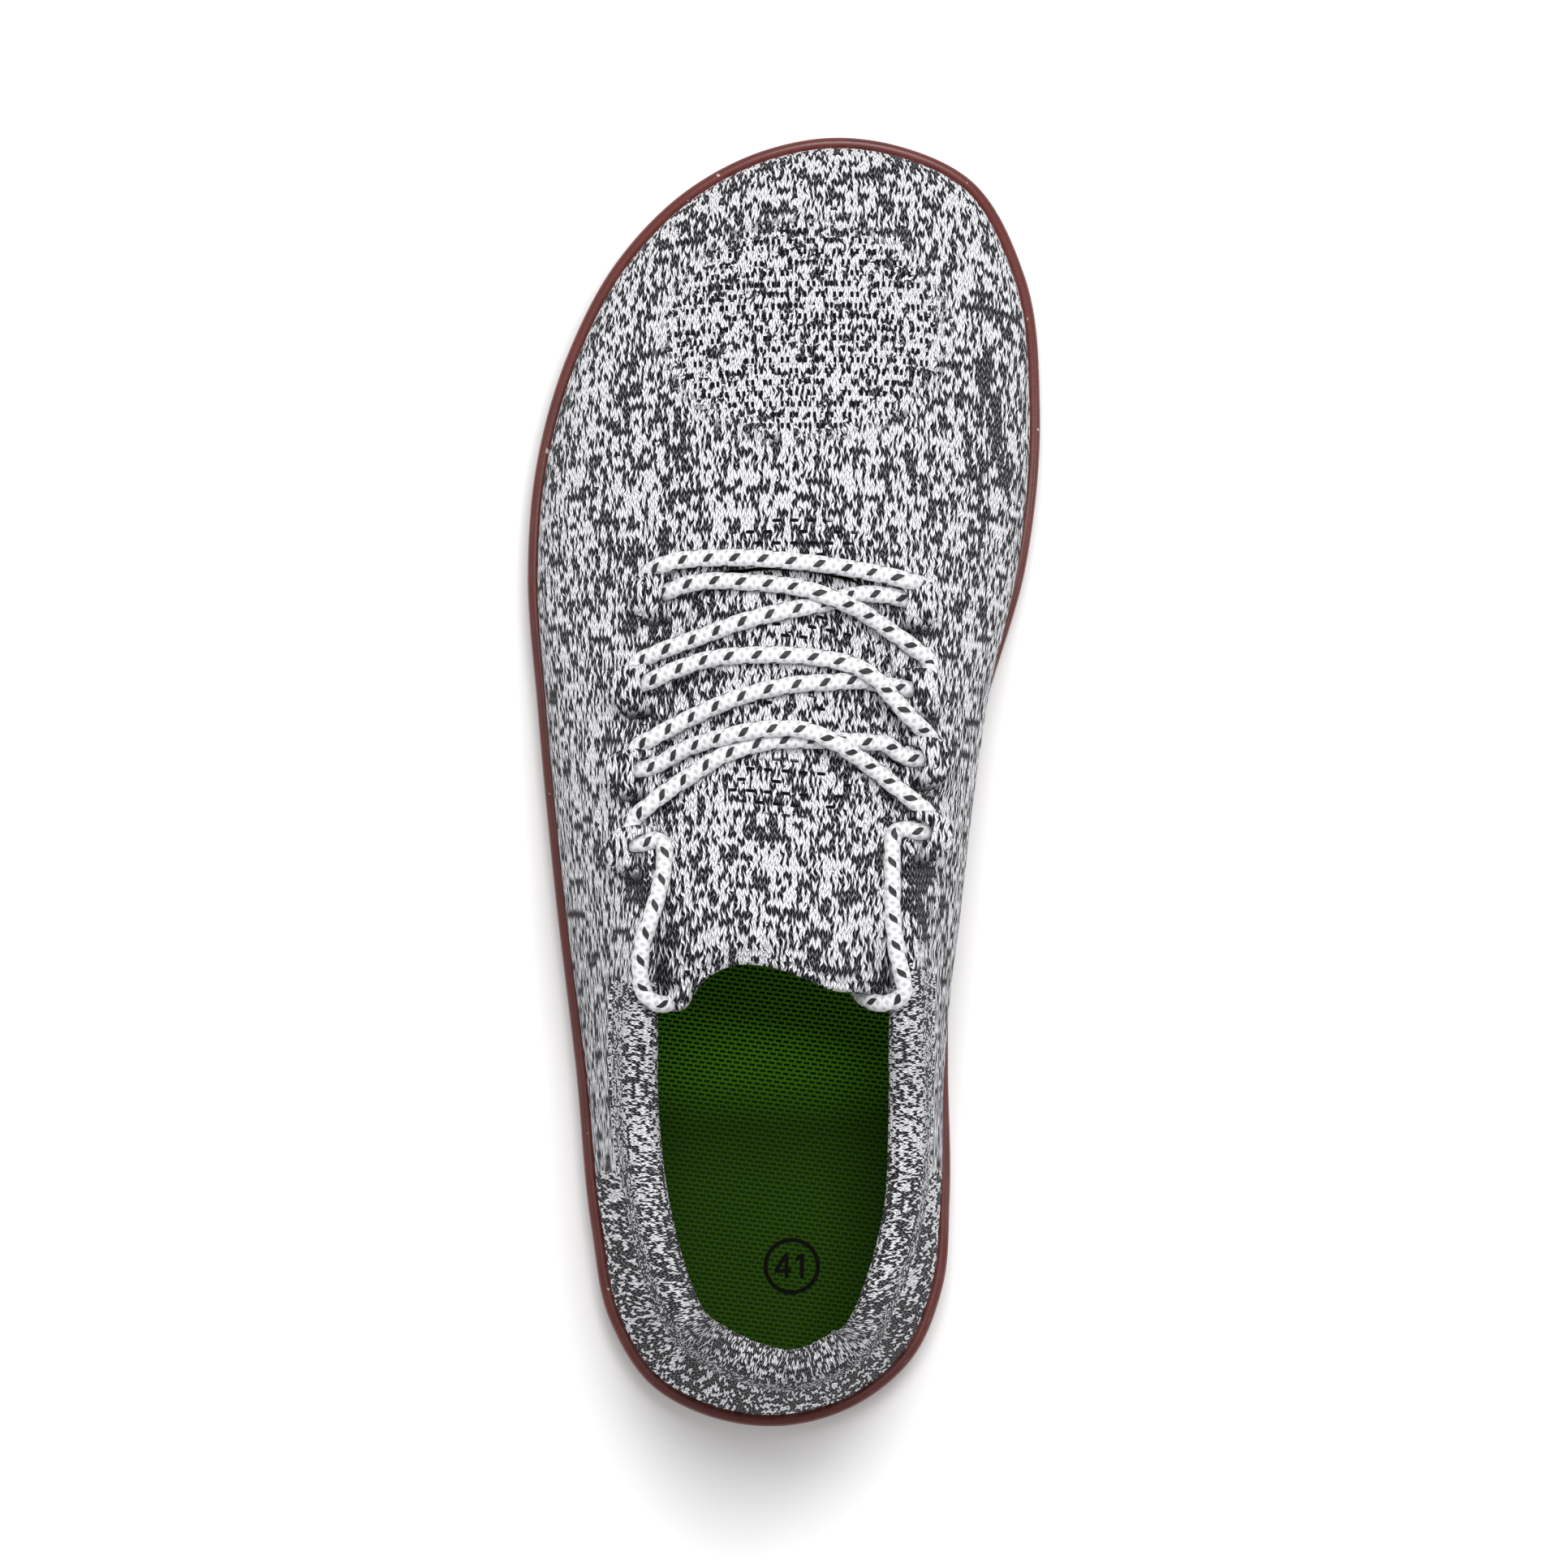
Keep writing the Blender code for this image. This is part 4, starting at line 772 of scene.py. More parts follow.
def knit_group():
    """Rows of knitted stitches, each leg of white or black yarn."""
    tree, nodes, given, wanted = new_group(
        "Knit stitches",
        (
            ("Place", "NodeSocketVector", None),
            ("Wale", "NodeSocketFloat", 1.25),
            ("Course", "NodeSocketFloat", 1.8),
            ("Dark share", "NodeSocketFloat", 0.36),
            ("Spread", "NodeSocketFloat", 0.5),
            ("Runs", "NodeSocketFloat", 0.5),
        ),
        (("Dark", "NodeSocketFloat"), ("Height", "NodeSocketFloat"), ("Gap", "NodeSocketFloat")),
    )
    place = given["Place"]
    wobble = nodes.add("ShaderNodeTexNoise", {"Vector": place, "Scale": 0.36, "Detail": 2.0}).outputs["Color"]
    shift = nodes.vector("SUBTRACT", {0: wobble, 1: (0.5, 0.5, 0.5)})
    shift = nodes.vector("SCALE", {0: shift, "Scale": 1.8})
    moved = nodes.vector("ADD", {0: place, 1: shift})
    across, along = nodes.split(moved)
    legs = nodes.times(nodes.divided(across, given["Wale"]), 2.0)
    leg = nodes.math("FLOOR", legs)
    part = nodes.minus(legs, leg)
    odd = nodes.math("FLOORED_MODULO", leg, 2.0)
    lean = nodes.plus(part, nodes.times(odd, nodes.times_plus(part, -2.0, 1.0)))
    rows = nodes.times_plus(lean, 0.75, nodes.divided(along, given["Course"]))
    row = nodes.math("FLOOR", rows)
    run = nodes.minus(rows, row)
    stitch = nodes.join(leg, row)
    chance = nodes.chance(stitch)
    cluster = nodes.vector("MULTIPLY", {0: stitch, 1: (0.31, 0.93, 0.0)})
    cluster = nodes.noise(cluster, 1.0, 1.0)
    patch = nodes.noise(nodes.stretched(moved, (0.12, 0.09, 1.0)), 1.0, 2.0)
    streak = nodes.noise(nodes.join(nodes.times(across, 0.10), nodes.times(row, 0.67)), 1.0, 1.0)
    odds = nodes.times_plus(nodes.minus(patch, 0.5), given["Spread"], given["Dark share"])
    odds = nodes.times_plus(nodes.minus(cluster, 0.5), 1.5, odds)
    odds = nodes.times_plus(nodes.ramp(streak, 0.60, 0.68), given["Runs"], odds)
    dark = nodes.math("LESS_THAN", nodes.times_plus(chance, 0.8, 0.1), odds)
    side = nodes.times_plus(part, 2.0, -1.0)
    rounded = nodes.minus(1.0, nodes.math("POWER", nodes.math("ABSOLUTE", side), 4.0))
    ends = nodes.times_plus(run, 2.0, -1.0)
    capped = nodes.minus(1.0, nodes.times(ends, ends))
    height = nodes.times(rounded, capped)
    nodes.feed(wanted["Dark"], nodes.times(dark, nodes.ramp(height, 0.12, 0.38)))
    nodes.feed(wanted["Height"], height)
    # Gap: painted shade between the stitches, 1 where the yarn sinks away
    nodes.feed(wanted["Gap"], nodes.ramp(height, 0.50, 0.02))
    return tree


def marks_group():
    """Staggered rows of small marks, alone or in pairs."""
    tree, nodes, given, wanted = new_group(
        "Mark rows",
        (
            ("Place", "NodeSocketVector", None),
            ("Pitch", "NodeSocketFloat", 3.85),
            ("Row pitch", "NodeSocketFloat", 2.45),
            ("Apart", "NodeSocketFloat", 0.62),
            ("Half width", "NodeSocketFloat", 0.36),
            ("Half height", "NodeSocketFloat", 0.68),
            ("Missing", "NodeSocketFloat", 0.2),
            ("Slant", "NodeSocketFloat", 0.0),
        ),
        (("Mark", "NodeSocketFloat"),),
    )
    across, along = nodes.split(given["Place"])
    rows = nodes.divided(along, given["Row pitch"])
    row = nodes.math("FLOOR", rows)
    up = nodes.times(nodes.minus(nodes.minus(rows, row), 0.5), given["Row pitch"])
    stagger = nodes.times(nodes.math("FLOORED_MODULO", row, 2.0), 0.5)
    cells = nodes.plus(nodes.divided(across, given["Pitch"]), stagger)
    cell = nodes.math("FLOOR", cells)
    over = nodes.times(nodes.minus(nodes.minus(cells, cell), 0.5), given["Pitch"])
    over = nodes.minus(over, nodes.times(up, given["Slant"]))
    over = nodes.minus(nodes.math("ABSOLUTE", over), given["Apart"])
    wide = nodes.math("POWER", nodes.math("ABSOLUTE", nodes.divided(over, given["Half width"])), 4.0)
    high = nodes.math("POWER", nodes.math("ABSOLUTE", nodes.divided(up, given["Half height"])), 4.0)
    mark = nodes.minus(1.0, nodes.ramp(nodes.plus(wide, high), 0.5, 1.3))
    chance = nodes.chance(nodes.join(cell, row))
    kept = nodes.math("GREATER_THAN", chance, given["Missing"])
    nodes.feed(wanted["Mark"], nodes.times(mark, kept))
    return tree


def shaded(colour, share=1.0):
    """A colour made darker or lighter, with its alpha."""
    return (*[part * share for part in colour], 1.0)


def shared_group(name, make):
    """A shader group that is built once."""
    return bpy.data.node_groups.get(name) or make()


def mark_rows(nodes, place, **values):
    """Rows of small marks, with the sizes that differ from the group's own."""
    named = {key.capitalize().replace("_", " "): value for key, value in values.items()}
    return nodes.group(shared_group("Mark rows", marks_group), {"Place": place, **named}).outputs[0]


def new_material(name, roughness, **sockets):
    """A material with its Principled shader and a helper that adds nodes."""
    material = bpy.data.materials.new(name)
    material.use_nodes = True
    nodes = Nodes(material.node_tree)
    shader = material.node_tree.nodes["Principled BSDF"]
    shader.inputs["Roughness"].default_value = roughness
    for label, value in sockets.items():
        shader.inputs[label.replace("_", " ")].default_value = value
    return material, nodes, shader


def add_bump(nodes, shader, height, distance, strength=1.0):
    """Feed a height to the shader as relief of a depth in metres."""
    bump = nodes.add("ShaderNodeBump", {"Height": height, "Distance": distance, "Strength": strength})
    nodes.feed(shader.inputs["Normal"], bump.outputs[0])


def oval_zone(nodes, place, centre, radii):
    """1 inside an oval and 0 outside it."""
    across, along = nodes.split(place)
    wide = nodes.divided(nodes.minus(across, centre[0]), radii[0])
    high = nodes.divided(nodes.minus(along, centre[1]), radii[1])
    far = nodes.plus(nodes.times(wide, wide), nodes.times(high, high))
    return nodes.minus(1.0, nodes.ramp(far, 0.72, 1.15))


def line_zone(nodes, place, start, end, half_width):
    """1 on a line between two plan places, fading to 0 beside it and past its ends."""
    length = math.hypot(end[0] - start[0], end[1] - start[1])
    way = ((end[0] - start[0]) / length, (end[1] - start[1]) / length)
    middle = ((end[0] + start[0]) / 2, (end[1] + start[1]) / 2)
    across, along = nodes.split(place)
    across = nodes.minus(across, middle[0])
    along = nodes.minus(along, middle[1])
    aside = nodes.times_plus(across, way[1], nodes.times(along, -way[0]))
    ahead = nodes.times_plus(across, way[0], nodes.times(along, way[1]))
    near = nodes.ramp(nodes.math("ABSOLUTE", aside), half_width, 0.0)
    return nodes.times(near, nodes.ramp(nodes.math("ABSOLUTE", ahead), length / 2, length / 2 * 0.7))


def object_place(nodes):
    """Place on a piece in millimetres."""
    place = nodes.add("ShaderNodeTexCoord").outputs["Object"]
    return nodes.vector("SCALE", {0: place, "Scale": 1 / MM})


def knit_material(
    name, with_round=False, with_fold=False, mesh_zone=None, dash_zones=(), streaks=(), dark=None, spread=0.5,
    runs=0.5,
):
    """Melange knit; a ribbed part may follow the rim, and zones may have tuck holes or rows of dashes."""
    look = bpy.context.scene.shoe_knit
    material, nodes, shader = new_material(name, 0.9, Sheen_Weight=0.02, Specular_IOR_Level=0.06)
    place = nodes.uv("along")
    share = look.dark_share if dark is None else dark
    if streaks:
        plan = object_place(nodes)
        # Streaks add black yarn along lines; those made from the troughs are painted shade in the folds
        for start, end, half_width, more in streaks:
            share = nodes.times_plus(line_zone(nodes, plan, start, end, half_width), more, share)
    along_place = place
    if with_round:
        belongs = nodes.attribute("ribbed")
        edge = nodes.times_plus(nodes.noise(place, 0.5), 0.5, -0.25)
        ribbed = nodes.math("GREATER_THAN", nodes.plus(belongs, edge), 0.5)
        plan_along = nodes.split(object_place(nodes))[1]
        back = nodes.times(ribbed, nodes.ramp(plan_along, *BACK_REACH))
        share = nodes.times_plus(back, BACK_DARK, share)
        rim = nodes.uv("round")
        wall = nodes.times_plus(edge, 5.0, nodes.split(rim)[1])
        wall = nodes.math("LESS_THAN", wall, -RIM_KNIT)
        fine = nodes.stretched(rim, (*RIM_SCALE, 1.0))
        ribs = nodes.stretched(rim, (*RIB_SCALE, 1.0))
        place = nodes.mix_places(ribbed, place, nodes.mix_places(wall, fine, ribs))
    knit = nodes.group(
        shared_group("Knit stitches", knit_group),
        {
            "Place": place, "Wale": look.wale_width, "Course": look.course_height,
            "Spread": spread, "Runs": runs,
        },
    )
    nodes.feed(knit.inputs["Dark share"], share)
    dark_yarn = knit.outputs["Dark"]
    height = knit.outputs["Height"]
    if mesh_zone:
        zone = oval_zone(nodes, along_place, *mesh_zone)
        thin = nodes.math("GREATER_THAN", nodes.noise(along_place, 0.7, 1.0), 0.56)
        # Painted shade: the tuck holes are filled with black yarn for the shade seen through them, and sunk
        # in the bump
        holes = mark_rows(nodes, along_place)
        holes = nodes.times(holes, zone)
        dark_yarn = nodes.times(dark_yarn, nodes.minus(1.0, nodes.times(zone, thin)))
        dark_yarn = nodes.math("MAXIMUM", dark_yarn, holes)
        height = nodes.times_plus(holes, -1.2, height)
    for centre, radii in dash_zones:
        zone = oval_zone(nodes, along_place, centre, radii)
        dashes = mark_rows(
            nodes, along_place, pitch=3.8, row_pitch=2.5, apart=0.0, half_width=1.0, half_height=0.42,
            missing=0.25,
        )
        dark_yarn = nodes.math("MAXIMUM", dark_yarn, nodes.times(dashes, zone))
    grain = nodes.noise(nodes.stretched(along_place, (2.1, 0.9, 1.0)), 1.0, 2.0)
    # Painted shade: the white yarn darkens towards a shaded copy of itself in the gaps between stitches, with
    # random grain on top
    grain_and_gap_shade = nodes.times_plus(nodes.minus(grain, 0.5), 1.2, knit.outputs["Gap"])
    white = nodes.mix(nodes.ramp(grain_and_gap_shade, 0.1, 1.0), shaded(look.white_yarn), shaded(look.white_yarn, 0.24))
    # Painted shade: the white yarn darkens towards a shaded copy where each tab folds into the upper
    if with_fold:
        white = nodes.mix(nodes.attribute("fold"), white, shaded(look.white_yarn, 0.12))
    nodes.feed(shader.inputs["Base Color"], nodes.mix(dark_yarn, white, shaded(look.black_yarn)))
    add_bump(nodes, shader, height, 0.0005, 0.8)
    return material


# Soft troughs of the knit, in millimetres: two ends, half width and depth
TROUGHS = (
    (-29.0, 32.6, -24.0, 31.0, 2.2, 0.9),
    (-34.0, 12.8, -28.0, 12.0, 2.2, 0.9),
    (-34.5, -5.6, -28.5, -6.0, 2.2, 0.9),
    (-34.5, -20.8, -27.0, -22.6, 2.2, 0.9),
    (25.0, 31.4, 32.0, 30.0, 2.2, 0.9),
    (26.0, 12.6, 33.0, 12.0, 2.2, 0.9),
    (27.0, -3.6, 34.0, -4.2, 2.2, 0.9),
    (25.0, -20.6, 33.0, -18.6, 2.2, 0.9),
    (27.0, -14.0, 30.5, -36.0, 2.6, 0.8),
    (-34.5, -17.0, -30.5, -27.0, 2.6, 0.6),
)

# Arch of a lace loop, in millimetres to the toe and up, from its front foot to its back foot
ARCH_COLUMNS = ("ahead", "up")
LOOP_ARCH = (
    (4.4, -0.6), (4.35, 1.0), (3.7, 3.2), (2.2, 5.0), (0.2, 5.7), (-1.9, 5.1), (-3.7, 3.4), (-4.7, 1.3),
    (-5.2, -0.6),
)
LOOP_HALF_WIDTH = 0.0037
LOOP_HALF_DEPTH = 0.0012
TUNNEL_AHEAD = 0.0008
TUNNEL_UP = 0.0021

# The lace from its lateral free end to its medial one: the loop it runs through, then the group and
# number of the bar it lies in, and whether it runs that bar from its last row to its first
LACE_ORDER = (
    ("lateral", 4, "lace_crossing_4", 1, True),
    ("medial", 3, "lace_crossing_3", 0, True),
    ("lateral", 2, "lace_crossing_2", 1, True),
    ("medial", 1, "lace_bar_1", 0, True),
    ("lateral", 1, "lace_crossing_2", 0, False),
    ("medial", 2, "lace_crossing_3", 1, False),
    ("lateral", 3, "lace_crossing_4", 0, False),
)
LAST_LOOP = ("medial", 4)
LACE_SIDES = 20
LACE_STEP = 0.0008
LACE_SMOOTHINGS = 4

# The last rows of each free end as it is tucked out of sight below the tongue
TUCKS = {
    "lace_end_lateral": (
        (-0.405, -0.1690, 0.006), (-0.365, -0.1727, 0.030), (-0.325, -0.1705, 0.085),
        (-0.300, -0.1640, 0.170),
    ),
    "lace_end_medial": (
        (0.418, -0.1690, 0.006), (0.365, -0.1720, 0.030), (0.320, -0.1695, 0.085),
        (0.290, -0.1630, 0.170),
    ),
}
# The tongue's rolled end, and how far its rows of stitches arch
ROLL_RADIUS = 0.0016
ROLL_PAST = 0.0016
ROW_ARCH = 0.0120


def press_in(points, normals):
    """Press the troughs into a surface."""
    plan = points[..., :2] / MM
    depth = np.zeros(points.shape[:2])
    for from_x, from_y, to_x, to_y, half_width, deep in TROUGHS:
        start = np.array([from_x, from_y])
        way = np.array([to_x, to_y]) - start
        share = np.clip(((plan - start) @ way) / (way @ way), 0.0, 1.0)
        far = np.linalg.norm(plan - start - share[..., None] * way, axis=2)
        depth += deep * MM * np.exp(-((far / half_width) ** 2))
    return points - normals * depth[..., None]


def make_upper(material):
    """The knitted upper over the solid one."""
    points, along, rounds, ribbed, _ = upper_grid()
    normals = surface_normals(points)
    outward = np.sign((normals[WALL_STEPS // 2, :, :2] * points[WALL_STEPS // 2, :, :2]).sum())
    wall = slice(1, WALL_STEPS + 2)
    shaped = points.copy()
    shaped[wall] = press_in(points[wall], normals[wall] * outward)
    places = {"along": along, "round": rounds, "ribbed": ribbed[..., None]}
    mesh = surface_mesh("knit_upper", shaped, True, True, places)
    add_piece("knit_upper", mesh, material, "knit", "upper")
    return points


def make_tongue(points, material):
    """The knitted tongue over the solid one."""
    grid, thickness = tongue_grid(points)
    normals = unit(np.cross(np.gradient(grid, axis=0), np.gradient(grid, axis=1)))
    normals *= np.sign(normals[..., 2:].mean())
    half = thickness[-1] / 2
    turns = np.linspace(-0.15, 0.95, 12) * math.pi
    back = unit(grid[-1] - grid[-4])
    middle = grid[-1] + back * ROLL_PAST - normals[-1] * half
    tip = [middle + (normals[-1] * math.cos(turn) + back * math.sin(turn)) * ROLL_RADIUS for turn in turns]
    lower = grid - normals * thickness[:, None, None]
    whole = np.concatenate([grid, np.array(tip), lower[::-1]])
    travel = np.cumsum(np.linalg.norm(np.diff(whole, axis=0, prepend=whole[:1]), axis=2), axis=0)
    way = np.clip(travel / travel[len(grid) - 1], 0.0, 1.0)
    share = (whole[..., 0] - OPENING_CENTRE) / (OPENING_WIDTH / 2)
    arch = ROW_ARCH * share**2 * np.sin(np.clip((way - 0.35) / 0.75, 0.0, 1.0) * math.pi)
    length = travel[len(grid) - 1].mean()
    along = np.stack([whole[..., 0], whole[0, :, 1].mean() - way * length - arch], axis=2) / MM
    along[len(grid):, :, 1] -= (travel[len(grid):] - travel[len(grid) - 1]) / MM
    mesh = surface_mesh("knit_tongue", whole, True, False, {"along": along})
    return add_piece("knit_tongue", mesh, material, "knit", "tongue")


def make_loops(tree, material):
    """Knitted tabs over the lace, and the place and directions of each."""
    frames = loop_frames(tree)
    arch = read_table(ARCH_COLUMNS, LOOP_ARCH)
    rows = np.arange(len(LOOP_ARCH))
    ways = np.linspace(0.0, len(LOOP_ARCH) - 1, 41)
    ahead_by = smooth_curve(rows, arch["ahead"], ways) * MM
    up_by = smooth_curve(rows, arch["up"], ways) * MM
    loops = []
    for (side, number), (point, ahead, up, _) in frames.items():
        path = point + ahead_by[:, None] * ahead + up_by[:, None] * up
        outward = path - (point + up * 0.0015)
        puff = 1 + 0.06 * np.cos(ways * 1.9 + number * 2.1)
        rings, places = tube_rings(path, outward, LOOP_HALF_WIDTH * puff, LOOP_HALF_DEPTH, 28, 2.6)
        shift = number * 13.7 + (7.3 if side == "medial" else 0.0)
        wide = np.concatenate([rings, rings[:, :1]], axis=1)
        places = np.stack([(wide[..., 0] - point[0]) / MM, places[..., 0] + shift], axis=2)
        name = f"{side}_{number}"
        travel = ways / ways[-1]
        # Painted shade at the feet of the tab, strongest at its back foot
        fold = smooth_step((0.16 - travel) / 0.16) * 0.7 + smooth_step((travel - 0.66) / 0.30)
        fold = np.repeat(fold[:, None, None], rings.shape[1], axis=1)
        mesh = tube_mesh("knit_loop_" + name, rings, places, fold=fold)
        loops.append(add_piece(mesh.name, mesh, material, "knit", "lace_loop_" + name))
    return loops, frames


def lay_run(tree, bare_tree, plan, bare):
    """Lay a run of the lace on what is below it; the first and last steps don't rise over a loop."""
    clearance = LACE_DIAMETER / 2 + 0.00005
    points = []
    for step, (x, y) in enumerate(plan[:, :2]):
        at_end = step < bare or step >= len(plan) - bare
        points.append(lay_on(bare_tree if at_end else tree, x, y, clearance))
    points = np.array(points)
    for _ in range(5):
        between = (points[:-2, 2] + points[2:, 2]) / 2
        points[1:-1, 2] = np.maximum(points[1:-1, 2], between)
    return points


def lay_bars(shells, loops):
    """Points of every lace bar, each lying on the tongue, the upper, the loops and the bar below it."""
    bare_tree = search_tree(shells)
    laid = {}
    for name, bars in BARS.items():
        below = []
        for number in reversed(range(len(bars))):
            plan = even_path(lace_plan(BAR_COLUMNS, bars[number]) * (1.0, 1.0, 0.0), 0.0024)
            run = lay_run(search_tree([*shells, *loops, *below]), bare_tree, plan, 2)
            laid[name, number] = run
            ups = np.tile((0.0, 0.0, 1.0), (len(run), 1))
            rings, places = tube_rings(run, ups, LACE_DIAMETER / 2, LACE_DIAMETER / 2, 12)
            below.append(bpy.data.objects.new("below", tube_mesh("below", rings, places)))
        for item in below:
            mesh = item.data
            bpy.data.objects.remove(item)
            bpy.data.meshes.remove(mesh)
    return laid


def tunnel_point(loop_frame):
    """Where the lace passes under a loop."""
    point, ahead, up, _ = loop_frame
    return point + ahead * TUNNEL_AHEAD + up * TUNNEL_UP


def lay_ends(tree):
    """Points of both free ends, laid along the collar and hung over its edge."""
    ends = {}
    for name, rows in ENDS.items():
        rows = rows[:-len(TUCKS[name])] + TUCKS[name]
        points = lace_plan(END_COLUMNS, rows) * (1.0, 1.0, HEEL_HEIGHT)
        for point in points:
            if point[2] == 0.0:
                height = lay_on(tree, point[0], point[1], LACE_DIAMETER / 2 + 0.0001).z
                point[2] = height
            else:
                point[2] = height - point[2]
        ends[name] = points
    return ends


def make_lace(shells, loops, frames, material):
    """One lace: its run through the loops, and its two free ends."""
    laid = lay_bars(shells, loops)
    ends = lay_ends(search_tree([*shells, *loops]))
    lateral = ends["lace_end_lateral"]
    medial = ends["lace_end_medial"]
    route = list(lateral[::-1])
    for side, number, name, place, backward in LACE_ORDER:
        route.append(tunnel_point(frames[side, number]))
        route += list(laid[name, place][::-1] if backward else laid[name, place])
    route.append(tunnel_point(frames[LAST_LOOP]))
    route += list(medial)
    path = even_path(route, LACE_STEP)
    for _ in range(LACE_SMOOTHINGS):
        path[1:-1] = path[1:-1] / 2 + (path[:-2] + path[2:]) / 4
    ups = np.tile((0.02, 0.05, 1.0), (len(path), 1))
    rings, places = tube_rings(path, ups, LACE_DIAMETER / 2, LACE_DIAMETER / 2, LACE_SIDES)
    first = int(np.argmin(np.linalg.norm(path - lateral[0], axis=1)))
    last = int(np.argmin(np.linalg.norm(path - medial[0], axis=1)))
    parts = (
        ("lace_run", slice(first, last + 1), list(BARS), None),
        ("lace_tail_lateral", slice(0, first + 1), ["lace_end_lateral"], -1),
        ("lace_tail_medial", slice(last, len(path)), ["lace_end_medial"], 1),
    )
    for name, span, nodes, way in parts:
        mesh = tube_mesh(name, rings[span], places[span])
        piece = add_piece(name, mesh, material, "lace_cord", *nodes)


def make_sole_side(material):
    """Smooth lip and side of the sole, just proud of the faceted solid."""
    plan, normals, around = sole_outline()
    rows = read_table(SIDE_COLUMNS, SIDE_ROWS)
    share = along_share(plan[:, 1])
    read = {name: smooth_curve(rows["along"], values, share) for name, values in rows.items()}
    flare = np.where(around <= 1.0, read["lateral_flare"], read["medial_flare"]) * FLARE
    band = np.clip(read["band"], 0.0, 1.0)
    rim = read["rim_height"] * CUP_HEIGHT
    side = rim - RIM_STEP
    still = np.zeros_like(rim)
    lines = [
        (still + LIP_THICKNESS + 0.0002, rim - 0.0001, still),
        (still + LIP_THICKNESS - 0.0002, rim + 0.0001, still),
        (still + 0.0009, rim + 0.0001, still),
        (still + 0.0004, rim - 0.0001, still),
        (still, rim - 0.0005, still),
        (still - SIDE_SKIN, rim - 0.0012, still),
    ]
    for way in np.linspace(0.84, 0.02, 18):
        inside = smooth_step((BAND_TOP - way) / 0.05) * smooth_step((way - BAND_FOOT) / 0.05)
        inset = flare * (1 - way) ** FLARE_POWER - SIDE_SKIN + band * inside * BAND_STEP * 0.7
        lines.append((inset, RIM_STEP + side * way, band * inside))
    lines.append((flare + 0.0006, still + RIM_STEP * 0.5, still))
    steps = np.linalg.norm(np.diff(plan, axis=0, append=plan[:1]), axis=1)
    travel = np.concatenate([[0.0], np.cumsum(steps)])
    points = []
    places = []
    bands = []
    for inset, height, ribs in lines:
        corner = plan - normals * inset[:, None]
        points.append(np.column_stack([corner, ground_rise(corner[:, 1]) + height]))
        places.append(np.column_stack([travel, np.append(height, height[0])]) / MM)
        bands.append(ribs[:, None])
    mesh = surface_mesh(
        "sole_side", np.array(points), False, True, {"along": np.array(places), "band": np.array(bands)}
    )
    add_piece("sole_side", mesh, material, "outsole_rubber")


def make_size_mark(material):
    """Printed ring round a plain size number on the insole."""
    bm = bmesh.new()
    turns = np.linspace(0.0, 2 * math.pi, 97)[:-1]
    inner = [bm.verts.new((MARK_RADIUS[0] * math.cos(t), MARK_RADIUS[0] * math.sin(t), 0.0)) for t in turns]
    outer = [bm.verts.new((MARK_RADIUS[1] * math.cos(t), MARK_RADIUS[1] * math.sin(t), 0.0)) for t in turns]
    for index in range(len(turns)):
        after = (index + 1) % len(turns)
        bm.faces.new((inner[index], outer[index], outer[after], inner[after]))
    for stroke in MARK_STROKES:
        bm.faces.new([bm.verts.new((x, y, 0.0)) for x, y in stroke])
    bmesh.ops.scale(bm, vec=(MM, MM, MM), verts=bm.verts[:])
    level = FLOOR_HEIGHT + GAP + INSOLE_THICKNESS + INK_RAISE
    bmesh.ops.translate(bm, vec=(MARK_CENTRE[0] * MM, MARK_CENTRE[1] * MM, level), verts=bm.verts[:])
    mesh = bpy.data.meshes.new("size_mark")
    bm.to_mesh(mesh)
    bm.free()
    add_piece("size_mark", mesh, material, "insole_mesh")


# How far the skin of the sole's side stands off the solid, and the print off the insole
SIDE_SKIN = 0.0002
INK_RAISE = 0.00006
MARK_CENTRE = (1.7, -104.3)
MARK_RADIUS = (5.2, 6.1)
# Strokes of the size number 41, in millimetres from the ring's centre
MARK_STROKES = (
    ((-1.55, 2.7), (-0.7, 2.7), (-0.7, -2.6), (-1.55, -2.6)),
    ((-3.7, -0.6), (-3.7, -1.45), (-1.55, -1.45), (-1.55, -0.6)),
    ((-0.7, -0.6), (-0.7, -1.45), (-0.1, -1.45), (-0.1, -0.6)),
    ((-3.7, -0.6), (-2.7, -0.6), (-1.55, 1.3), (-1.55, 2.7)),
    ((1.75, 2.7), (2.65, 2.7), (2.65, -2.6), (1.75, -2.6)),
    ((0.75, 1.75), (0.75, 0.85), (1.75, 1.55), (1.75, 2.7)),
)
# Darker lines of the knit: two plan ends, half width in millimetres, and how much more black yarn
STREAKS = (
    ((41.5, 95.0), (48.5, 60.0), 3.2, 0.42),
    ((-37.0, 74.0), (-29.0, 88.0), 3.0, 0.25),
    ((-26.0, 118.0), (34.0, 118.0), 2.0, 0.25),
)
# How far the fine knit of the collar reaches down outside, and how much finer it and the ribs of the
# heel are than the vamp, round the shoe and up it
RIM_KNIT = 9.0
RIM_SCALE = (1.5, 1.8)
RIB_SCALE = (0.95, 0.36)
# Painted shade in the folds: how far beside a trough it spreads as extra black yarn, and how much of it
CREASE_SPREAD = 1.5
CREASE_SHADE = 0.4
TONGUE_STREAKS = (((-13.0, -41.0), (-2.0, -41.0), 2.4, 0.6),)
# Ovals of the knit: centre and radii in millimetres
TOE_MESH = ((4.3, 99.0), (33.0, 26.0))
VAMP_DASHES = (((2.0, 51.5), (16.0, 6.0)),)
TONGUE_DASHES = (((1.0, 31.0), (15.0, 4.0)), ((1.0, 14.0), (14.0, 2.5)), ((1.0, -5.0), (15.0, 7.0)))
# Where the knit darkens at the back of the heel, and by how much
BACK_REACH = (-70.0, -115.0)
BACK_DARK = 0.16


